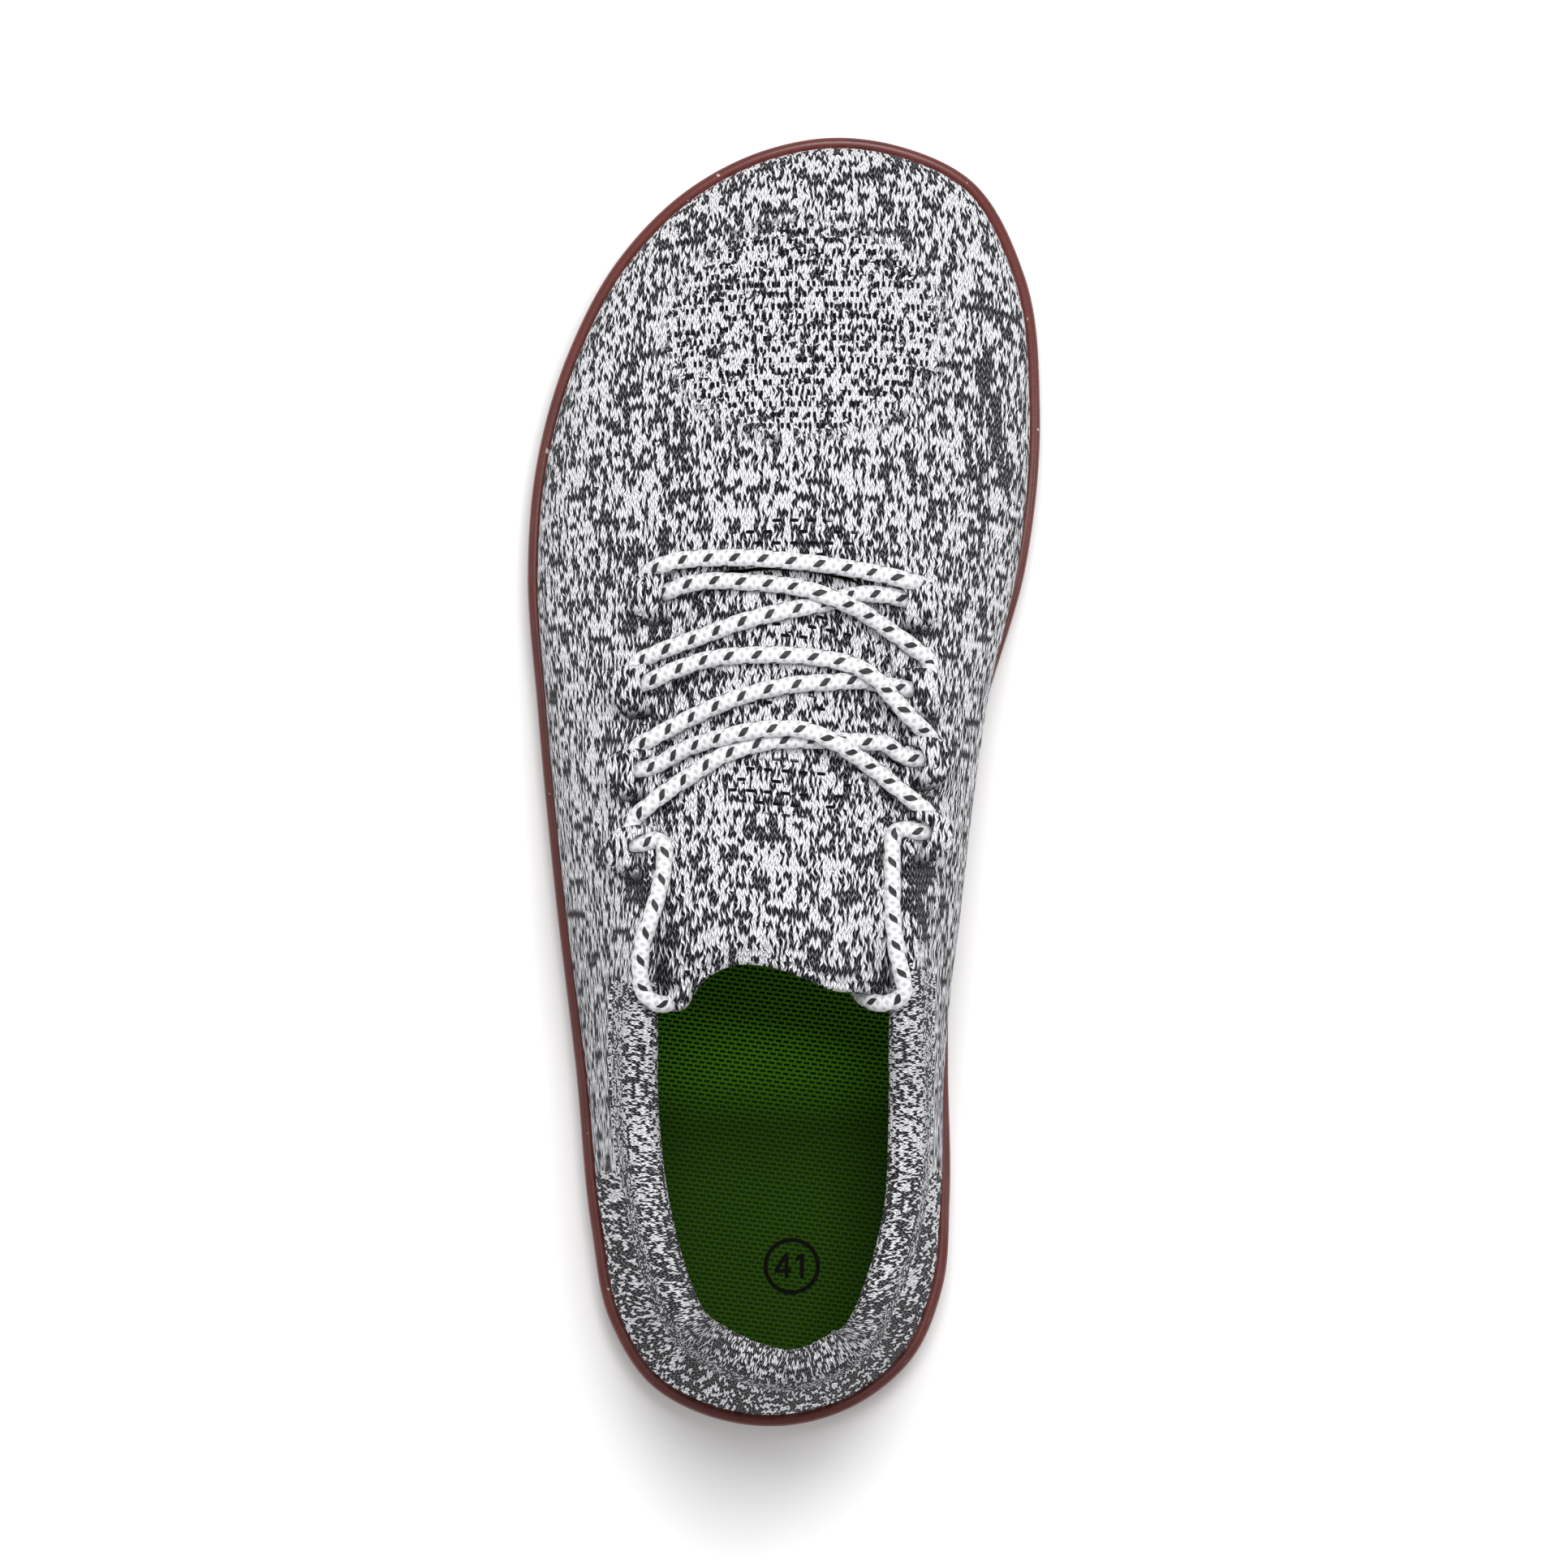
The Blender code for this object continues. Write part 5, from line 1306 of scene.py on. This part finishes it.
def lace_material():
    """White braided cord with slanted black dashes."""
    look = bpy.context.scene.shoe_lace
    material, nodes, shader = new_material("lace braid", 0.62, Sheen_Weight=0.15)
    along, turn = nodes.split(nodes.uv("along"))
    round_lace = nodes.times(turn, math.pi * LACE_DIAMETER / MM)
    quarter = math.pi * LACE_DIAMETER / MM / 4
    place = nodes.join(along, nodes.plus(round_lace, quarter / 2))
    dash = mark_rows(
        nodes, place, pitch=look.dash_pitch, row_pitch=quarter, apart=0.0, half_width=0.82, half_height=0.98,
        missing=-1.0, slant=0.75,
    )
    first = nodes.times_plus(along, 3.2, nodes.times(turn, 8 * math.pi))
    second = nodes.times_plus(along, 3.2, nodes.times(turn, -8 * math.pi))
    braid = nodes.math("MAXIMUM", nodes.math("SINE", first), nodes.math("SINE", second))
    fuzz = nodes.noise(nodes.join(along, round_lace), 3.0, 3.0)
    shade = nodes.ramp(braid, -0.6, 0.7)
    white = nodes.mix(shade, shaded(look.white_yarn, 0.66), shaded(look.white_yarn))
    nodes.feed(shader.inputs["Base Color"], nodes.mix(dash, white, shaded(look.black_yarn)))
    add_bump(nodes, shader, nodes.times_plus(fuzz, 0.7, braid), 0.00007, 0.6)
    return material


def sole_side_material():
    """Moulded rubber of the lip and side, with fine slanted ribs on its band."""
    look = bpy.context.scene.shoe_sole
    material, nodes, shader = new_material("sole side rubber", 0.30)
    shader.inputs["Specular IOR Level"].default_value = 0.35
    place = nodes.uv("along")
    along, high = nodes.split(place)
    ribs = nodes.math("SINE", nodes.times_plus(along, 2 * math.pi / 1.3, nodes.times(high, 1.6)))
    ribs = nodes.times(ribs, nodes.attribute("band"))
    cloud = nodes.noise(place, 0.08, 3.0)
    cloud = nodes.ramp(cloud, 0.3, 0.7)
    colour = nodes.mix(cloud, shaded(look.side_colour, 0.86), shaded(look.side_colour, 1.12))
    # Painted shade in the grooves between the slanted side ribs
    rib_groove_shade = nodes.times(nodes.ramp(ribs, 0.1, -0.7), 0.6)
    colour = nodes.mix(rib_groove_shade, colour, shaded(look.groove_shade_colour))
    nicks = nodes.ramp(nodes.noise(object_place(nodes), 0.6, 0.0), 0.84, 0.86)
    colour = nodes.mix(nodes.times(nicks, 0.7), colour, (0.62, 0.52, 0.48, 1.0))
    nodes.feed(shader.inputs["Base Color"], colour)
    grain = nodes.noise(place, 2.2, 3.0)
    nodes.feed(shader.inputs["Roughness"], nodes.times_plus(grain, 0.20, 0.24))
    add_bump(nodes, shader, nodes.times_plus(grain, 0.25, ribs), 0.00022, 0.6)
    return material


def tread_material():
    """Rubber of the tread: lug faces brighter than the grooves, which are painted darker as shade."""
    look = bpy.context.scene.shoe_sole
    material, nodes, shader = new_material("tread rubber", 0.42)
    place = object_place(nodes)
    parts = nodes.add("ShaderNodeSeparateXYZ", {0: place})
    length = SOLE_LENGTH / MM
    share = nodes.times_plus(parts.outputs[1], 1 / length, 0.5)
    toe = nodes.math("MAXIMUM", nodes.divided(nodes.minus(share, TOE_BREAK), 1 - TOE_BREAK), 0.0)
    heel = nodes.math("MAXIMUM", nodes.divided(nodes.minus(HEEL_BREAK, share), HEEL_BREAK), 0.0)
    rise = nodes.times(nodes.times(toe, toe), TOE_SPRING / MM)
    rise = nodes.times_plus(nodes.times(heel, heel), HEEL_BEVEL / MM, rise)
    height = nodes.minus(parts.outputs[2], rise)
    # Painted shade: the grooves between the lugs darken with their depth
    deep = nodes.ramp(height, 0.25, LUG_DEPTH / MM * 0.9)
    cloud = nodes.noise(place, 0.06, 3.0)
    face = nodes.mix(cloud, shaded(look.lug_colour, 0.85), shaded(look.lug_colour, 1.15))
    colour = nodes.mix(deep, face, shaded(look.groove_shade_colour))
    nodes.feed(shader.inputs["Base Color"], colour)
    grain = nodes.noise(place, 1.8, 4.0)
    nodes.feed(shader.inputs["Roughness"], nodes.times_plus(grain, 0.25, 0.30))
    add_bump(nodes, shader, grain, 0.00008, 0.6)
    return material


def insole_material():
    """Green woven mesh with staggered gaps in slanted rows, painted dark as shade, and a painted lit patch
    behind the tongue.
    """
    look = bpy.context.scene.shoe_insole
    material, nodes, shader = new_material("insole mesh", 0.85, Specular_IOR_Level=0.08)
    place = object_place(nodes)
    turned = nodes.add("ShaderNodeMapping", {0: place, 2: (0.0, 0.0, math.radians(8.0))}).outputs[0]
    gaps = mark_rows(
        nodes, turned, pitch=look.gap_pitch, row_pitch=0.98, apart=0.0, half_width=0.66, half_height=0.27,
        missing=-1.0, slant=0.0,
    )
    cloud = nodes.noise(place, 0.035, 2.0)
    green = nodes.mix(cloud, shaded(look.green, 0.85), shaded(look.green, 1.15))
    # Painted light: the mesh just behind the tongue is painted brighter, as if lit
    front = nodes.ramp(nodes.split(place)[1], -76.0, -50.0)
    green = nodes.mix(front, green, shaded(look.lit_front_green))
    # Painted shade in the gaps between the threads
    nodes.feed(shader.inputs["Base Color"], nodes.mix(gaps, green, shaded(look.hollow_shade)))
    add_bump(nodes, shader, nodes.minus(1.0, gaps), 0.0002, 0.6)
    return material


def print_material():
    """Black print."""
    material, nodes, shader = new_material("black print", 0.9, Specular_IOR_Level=0.05)
    speck = nodes.noise(object_place(nodes), 1.4, 2.0)
    ink = nodes.mix(speck, (0.002, 0.002, 0.002, 1.0), (0.006, 0.006, 0.005, 1.0))
    nodes.feed(shader.inputs["Base Color"], ink)
    return material


def floor_material():
    """Pale plain floor."""
    look = bpy.context.scene.shoe_stage
    material, nodes, shader = new_material("pale floor", 0.9)
    nodes.feed(shader.inputs["Base Color"], shaded((1.0, 1.0, 1.0), look.floor_tone))
    shader.inputs["Specular IOR Level"].default_value = 0.0
    return material


# Floor, key light and the point that the camera looks at, in metres
FLOOR_SIZE = 6.0
KEY_SIZE = 0.6
KEY_PLACE = (0.10, 0.42, 1.2)
VIEW_TARGET = (0.0, -0.0004, 0.013)


def colour_property(name, description, default):
    """A linear colour."""
    return FloatVectorProperty(
        name=name, description=description, default=default, size=3, subtype="COLOR", min=0.0, max=1.0
    )


def number_property(name, description, default, **limits):
    """A number with a name and a description."""
    return FloatProperty(name=name, description=description, default=default, **limits)


class ShoeKnitLook(bpy.types.PropertyGroup):
    """Look of the knit"""

    wale_width: number_property("Wale width", "Width of a stitch in millimetres", 1.12)
    course_height: number_property("Course height", "Height of a row in millimetres", 1.7)
    dark_share: number_property("Dark share", "Share of black yarn", 0.46, min=0.0, max=1.0, subtype="FACTOR")
    white_yarn: colour_property("White yarn", "Colour of the white yarn", (0.90, 0.90, 0.94))
    black_yarn: colour_property("Black yarn", "Colour of the black yarn", (0.005, 0.005, 0.007))


class ShoeLaceLook(bpy.types.PropertyGroup):
    """Look of the lace"""

    dash_pitch: number_property("Dash pitch", "Distance of the dashes in millimetres", 5.9)
    white_yarn: colour_property("White yarn", "Colour of the lace", (0.72, 0.72, 0.74))
    black_yarn: colour_property("Black yarn", "Colour of its dashes", (0.008, 0.008, 0.009))


class ShoeSoleLook(bpy.types.PropertyGroup):
    """Look of the rubber"""

    side_colour: colour_property("Side", "Colour of the lip and side", (0.108, 0.022, 0.018))
    lug_colour: colour_property("Lugs", "Colour of the lug faces", (0.290, 0.078, 0.046))
    # Painted shade colour of the grooves
    groove_shade_colour: colour_property("Grooves", "Colour between the lugs", (0.085, 0.018, 0.013))


class ShoeInsoleLook(bpy.types.PropertyGroup):
    """Look of the insole"""

    gap_pitch: number_property("Gap pitch", "Distance of the gaps in millimetres", 1.66)
    green: colour_property("Green", "Colour of the mesh", (0.018, 0.052, 0.001))
    # Painted light: a brighter copy of the green for the lit mesh behind the tongue
    lit_front_green: colour_property("Front green", "Colour of the mesh below the tongue", (0.090, 0.300, 0.010))
    # Painted shade colour of the gaps in the mesh
    hollow_shade: colour_property("Gaps", "Colour between its threads", (0.004, 0.018, 0.002))


class ShoeStageLook(bpy.types.PropertyGroup):
    """Camera and light"""

    lens: number_property("Lens", "Focal length in millimetres", 1065.6)
    distance: number_property("Distance", "From the camera to the shoe", 10.0, unit="LENGTH")
    heelward: number_property(
        "Tilt to the heel", "Lean of the view to the heel", math.radians(0.2), subtype="ANGLE"
    )
    sideward: number_property(
        "Tilt to the side", "Lean of the view to the small-toe side", math.radians(0.4), subtype="ANGLE"
    )
    floor_tone: number_property("Floor", "Lightness of the floor", 0.94, min=0.0, max=1.0)
    key_power: number_property("Key", "Power of the large soft light in watts", 15.0)
    sky_strength: number_property("Sky", "Strength of the even light", 0.62)


class SHOE_OT_stage(bpy.types.Operator):
    """Set the floor, the camera and the soft light"""

    bl_idname = "shoe.stage"
    bl_label = "Stage"

    def execute(self, context):
        look = context.scene.shoe_stage
        mesh = bpy.data.meshes.new("floor")
        half = FLOOR_SIZE / 2
        corners = [(-half, -half, 0), (half, -half, 0), (half, half, 0), (-half, half, 0)]
        mesh.from_pydata(corners, [], [(0, 1, 2, 3)])
        mesh.materials.append(floor_material())
        floor = bpy.data.objects.new("floor", mesh)
        target = Vector(VIEW_TARGET)
        away = Vector((-math.tan(look.sideward), -math.tan(look.heelward), 1.0)).normalized()
        side = Vector((0.0, 1.0, 0.0)).cross(away).normalized()
        top = away.cross(side)
        turn = Matrix((side, top, away)).transposed().to_4x4()
        camera = bpy.data.objects.new("camera", bpy.data.cameras.new("camera"))
        camera.data.lens = look.lens
        camera.data.sensor_width = 36.0
        camera.data.clip_start = 0.01
        camera.matrix_world = Matrix.Translation(target + away * look.distance) @ turn
        key = bpy.data.objects.new("key", bpy.data.lights.new("key", "AREA"))
        key.data.energy = look.key_power
        key.data.shape = "RECTANGLE"
        key.data.size = KEY_SIZE
        key.data.size_y = KEY_SIZE
        key.location = KEY_PLACE
        key.rotation_euler = (-key.location).to_track_quat("-Z", "Y").to_euler()
        for item in (floor, camera, key):
            context.scene.collection.objects.link(item)
        context.scene.camera = camera
        world = bpy.data.worlds.new("sky")
        world.use_nodes = True
        world.node_tree.nodes["Background"].inputs["Color"].default_value = (1.0, 1.0, 1.0, 1.0)
        world.node_tree.nodes["Background"].inputs["Strength"].default_value = look.sky_strength
        context.scene.world = world
        context.scene.view_settings.view_transform = "Standard"
        return {"FINISHED"}


class SHOE_OT_knit(bpy.types.Operator):
    """Make the knitted upper, tongue and lace loops"""

    bl_idname = "shoe.knit"
    bl_label = "Knit"

    def execute(self, context):
        # Painted shade: each trough also darkens the knit beside it, drawn as more black yarn
        crease_shade = [(row[:2], row[2:4], row[4] * CREASE_SPREAD, CREASE_SHADE) for row in TROUGHS]
        vamp = knit_material(
            "knit of the upper", with_round=True, mesh_zone=TOE_MESH, dash_zones=VAMP_DASHES,
            streaks=(*STREAKS, *crease_shade),
        )
        tongue = knit_material(
            "knit of the tongue", dark=0.43, runs=1.0, streaks=TONGUE_STREAKS, dash_zones=TONGUE_DASHES
        )
        tabs = knit_material("knit of the loops", dark=0.46, runs=0.2, with_fold=True)
        points = make_upper(vamp)
        make_tongue(points, tongue)
        tree = search_tree([frame["nodes"]["upper"], frame["nodes"]["tongue"]])
        make_loops(tree, tabs)
        return {"FINISHED"}


class SHOE_OT_lace(bpy.types.Operator):
    """Run the lace through its loops and lay down its two free ends"""

    bl_idname = "shoe.lace"
    bl_label = "Lace"

    def execute(self, context):
        shells = [frame["nodes"]["upper"], frame["nodes"]["tongue"]]
        loops = [item for item in context.scene.objects if item.name.startswith("knit_loop_")]
        if len(loops) != len(LATERAL_LOOPS) + len(MEDIAL_LOOPS):
            raise RuntimeError("the lace needs its loops first")
        make_lace(shells, loops, loop_frames(search_tree(shells)), lace_material())
        return {"FINISHED"}


class SHOE_OT_sole(bpy.types.Operator):
    """Finish the rubber sole"""

    bl_idname = "shoe.sole"
    bl_label = "Sole"

    def execute(self, context):
        outsole = frame["nodes"]["outsole"]
        outsole.data.materials.clear()
        outsole.data.materials.append(tread_material())
        make_sole_side(sole_side_material())
        return {"FINISHED"}


class SHOE_OT_insole(bpy.types.Operator):
    """Finish the insole and print its size number"""

    bl_idname = "shoe.insole"
    bl_label = "Insole"

    def execute(self, context):
        insole = frame["nodes"]["insole"]
        insole.data.materials.clear()
        insole.data.materials.append(insole_material())
        make_size_mark(print_material())
        return {"FINISHED"}


class SHOE_PT_panel(bpy.types.Panel):
    """Controls of the shoe"""

    bl_idname = "SHOE_PT_panel"
    bl_label = "Barefoot shoe"
    bl_space_type = "VIEW_3D"
    bl_region_type = "UI"
    bl_category = "Shoe"

    def draw(self, context):
        layout = self.layout
        for name in ("shoe_knit", "shoe_lace", "shoe_sole", "shoe_insole", "shoe_stage"):
            look = getattr(context.scene, name)
            box = layout.box()
            box.label(text=look.bl_rna.description)
            for key in look.__annotations__:
                box.prop(look, key)
            box.operator(name.replace("_", "."))


LOOKS = {
    "shoe_knit": ShoeKnitLook,
    "shoe_lace": ShoeLaceLook,
    "shoe_sole": ShoeSoleLook,
    "shoe_insole": ShoeInsoleLook,
    "shoe_stage": ShoeStageLook,
}
ACTIONS = (SHOE_OT_stage, SHOE_OT_knit, SHOE_OT_lace, SHOE_OT_sole, SHOE_OT_insole, SHOE_PT_panel)


def register():
    """Register the classes and their settings."""
    for item in (*LOOKS.values(), *ACTIONS):
        bpy.utils.register_class(item)
    for name, look in LOOKS.items():
        setattr(bpy.types.Scene, name, PointerProperty(type=look))


def unregister():
    """Undo register."""
    for name in LOOKS:
        delattr(bpy.types.Scene, name)
    for item in reversed((*LOOKS.values(), *ACTIONS)):
        bpy.utils.unregister_class(item)


def main():
    """Dress the shoe."""
    register()
    bpy.ops.shoe.stage()
    bpy.ops.shoe.knit()
    bpy.ops.shoe.lace()
    bpy.ops.shoe.sole()
    bpy.ops.shoe.insole()
    bpy.context.view_layer.update()


if __name__ == "__main__":
    main()
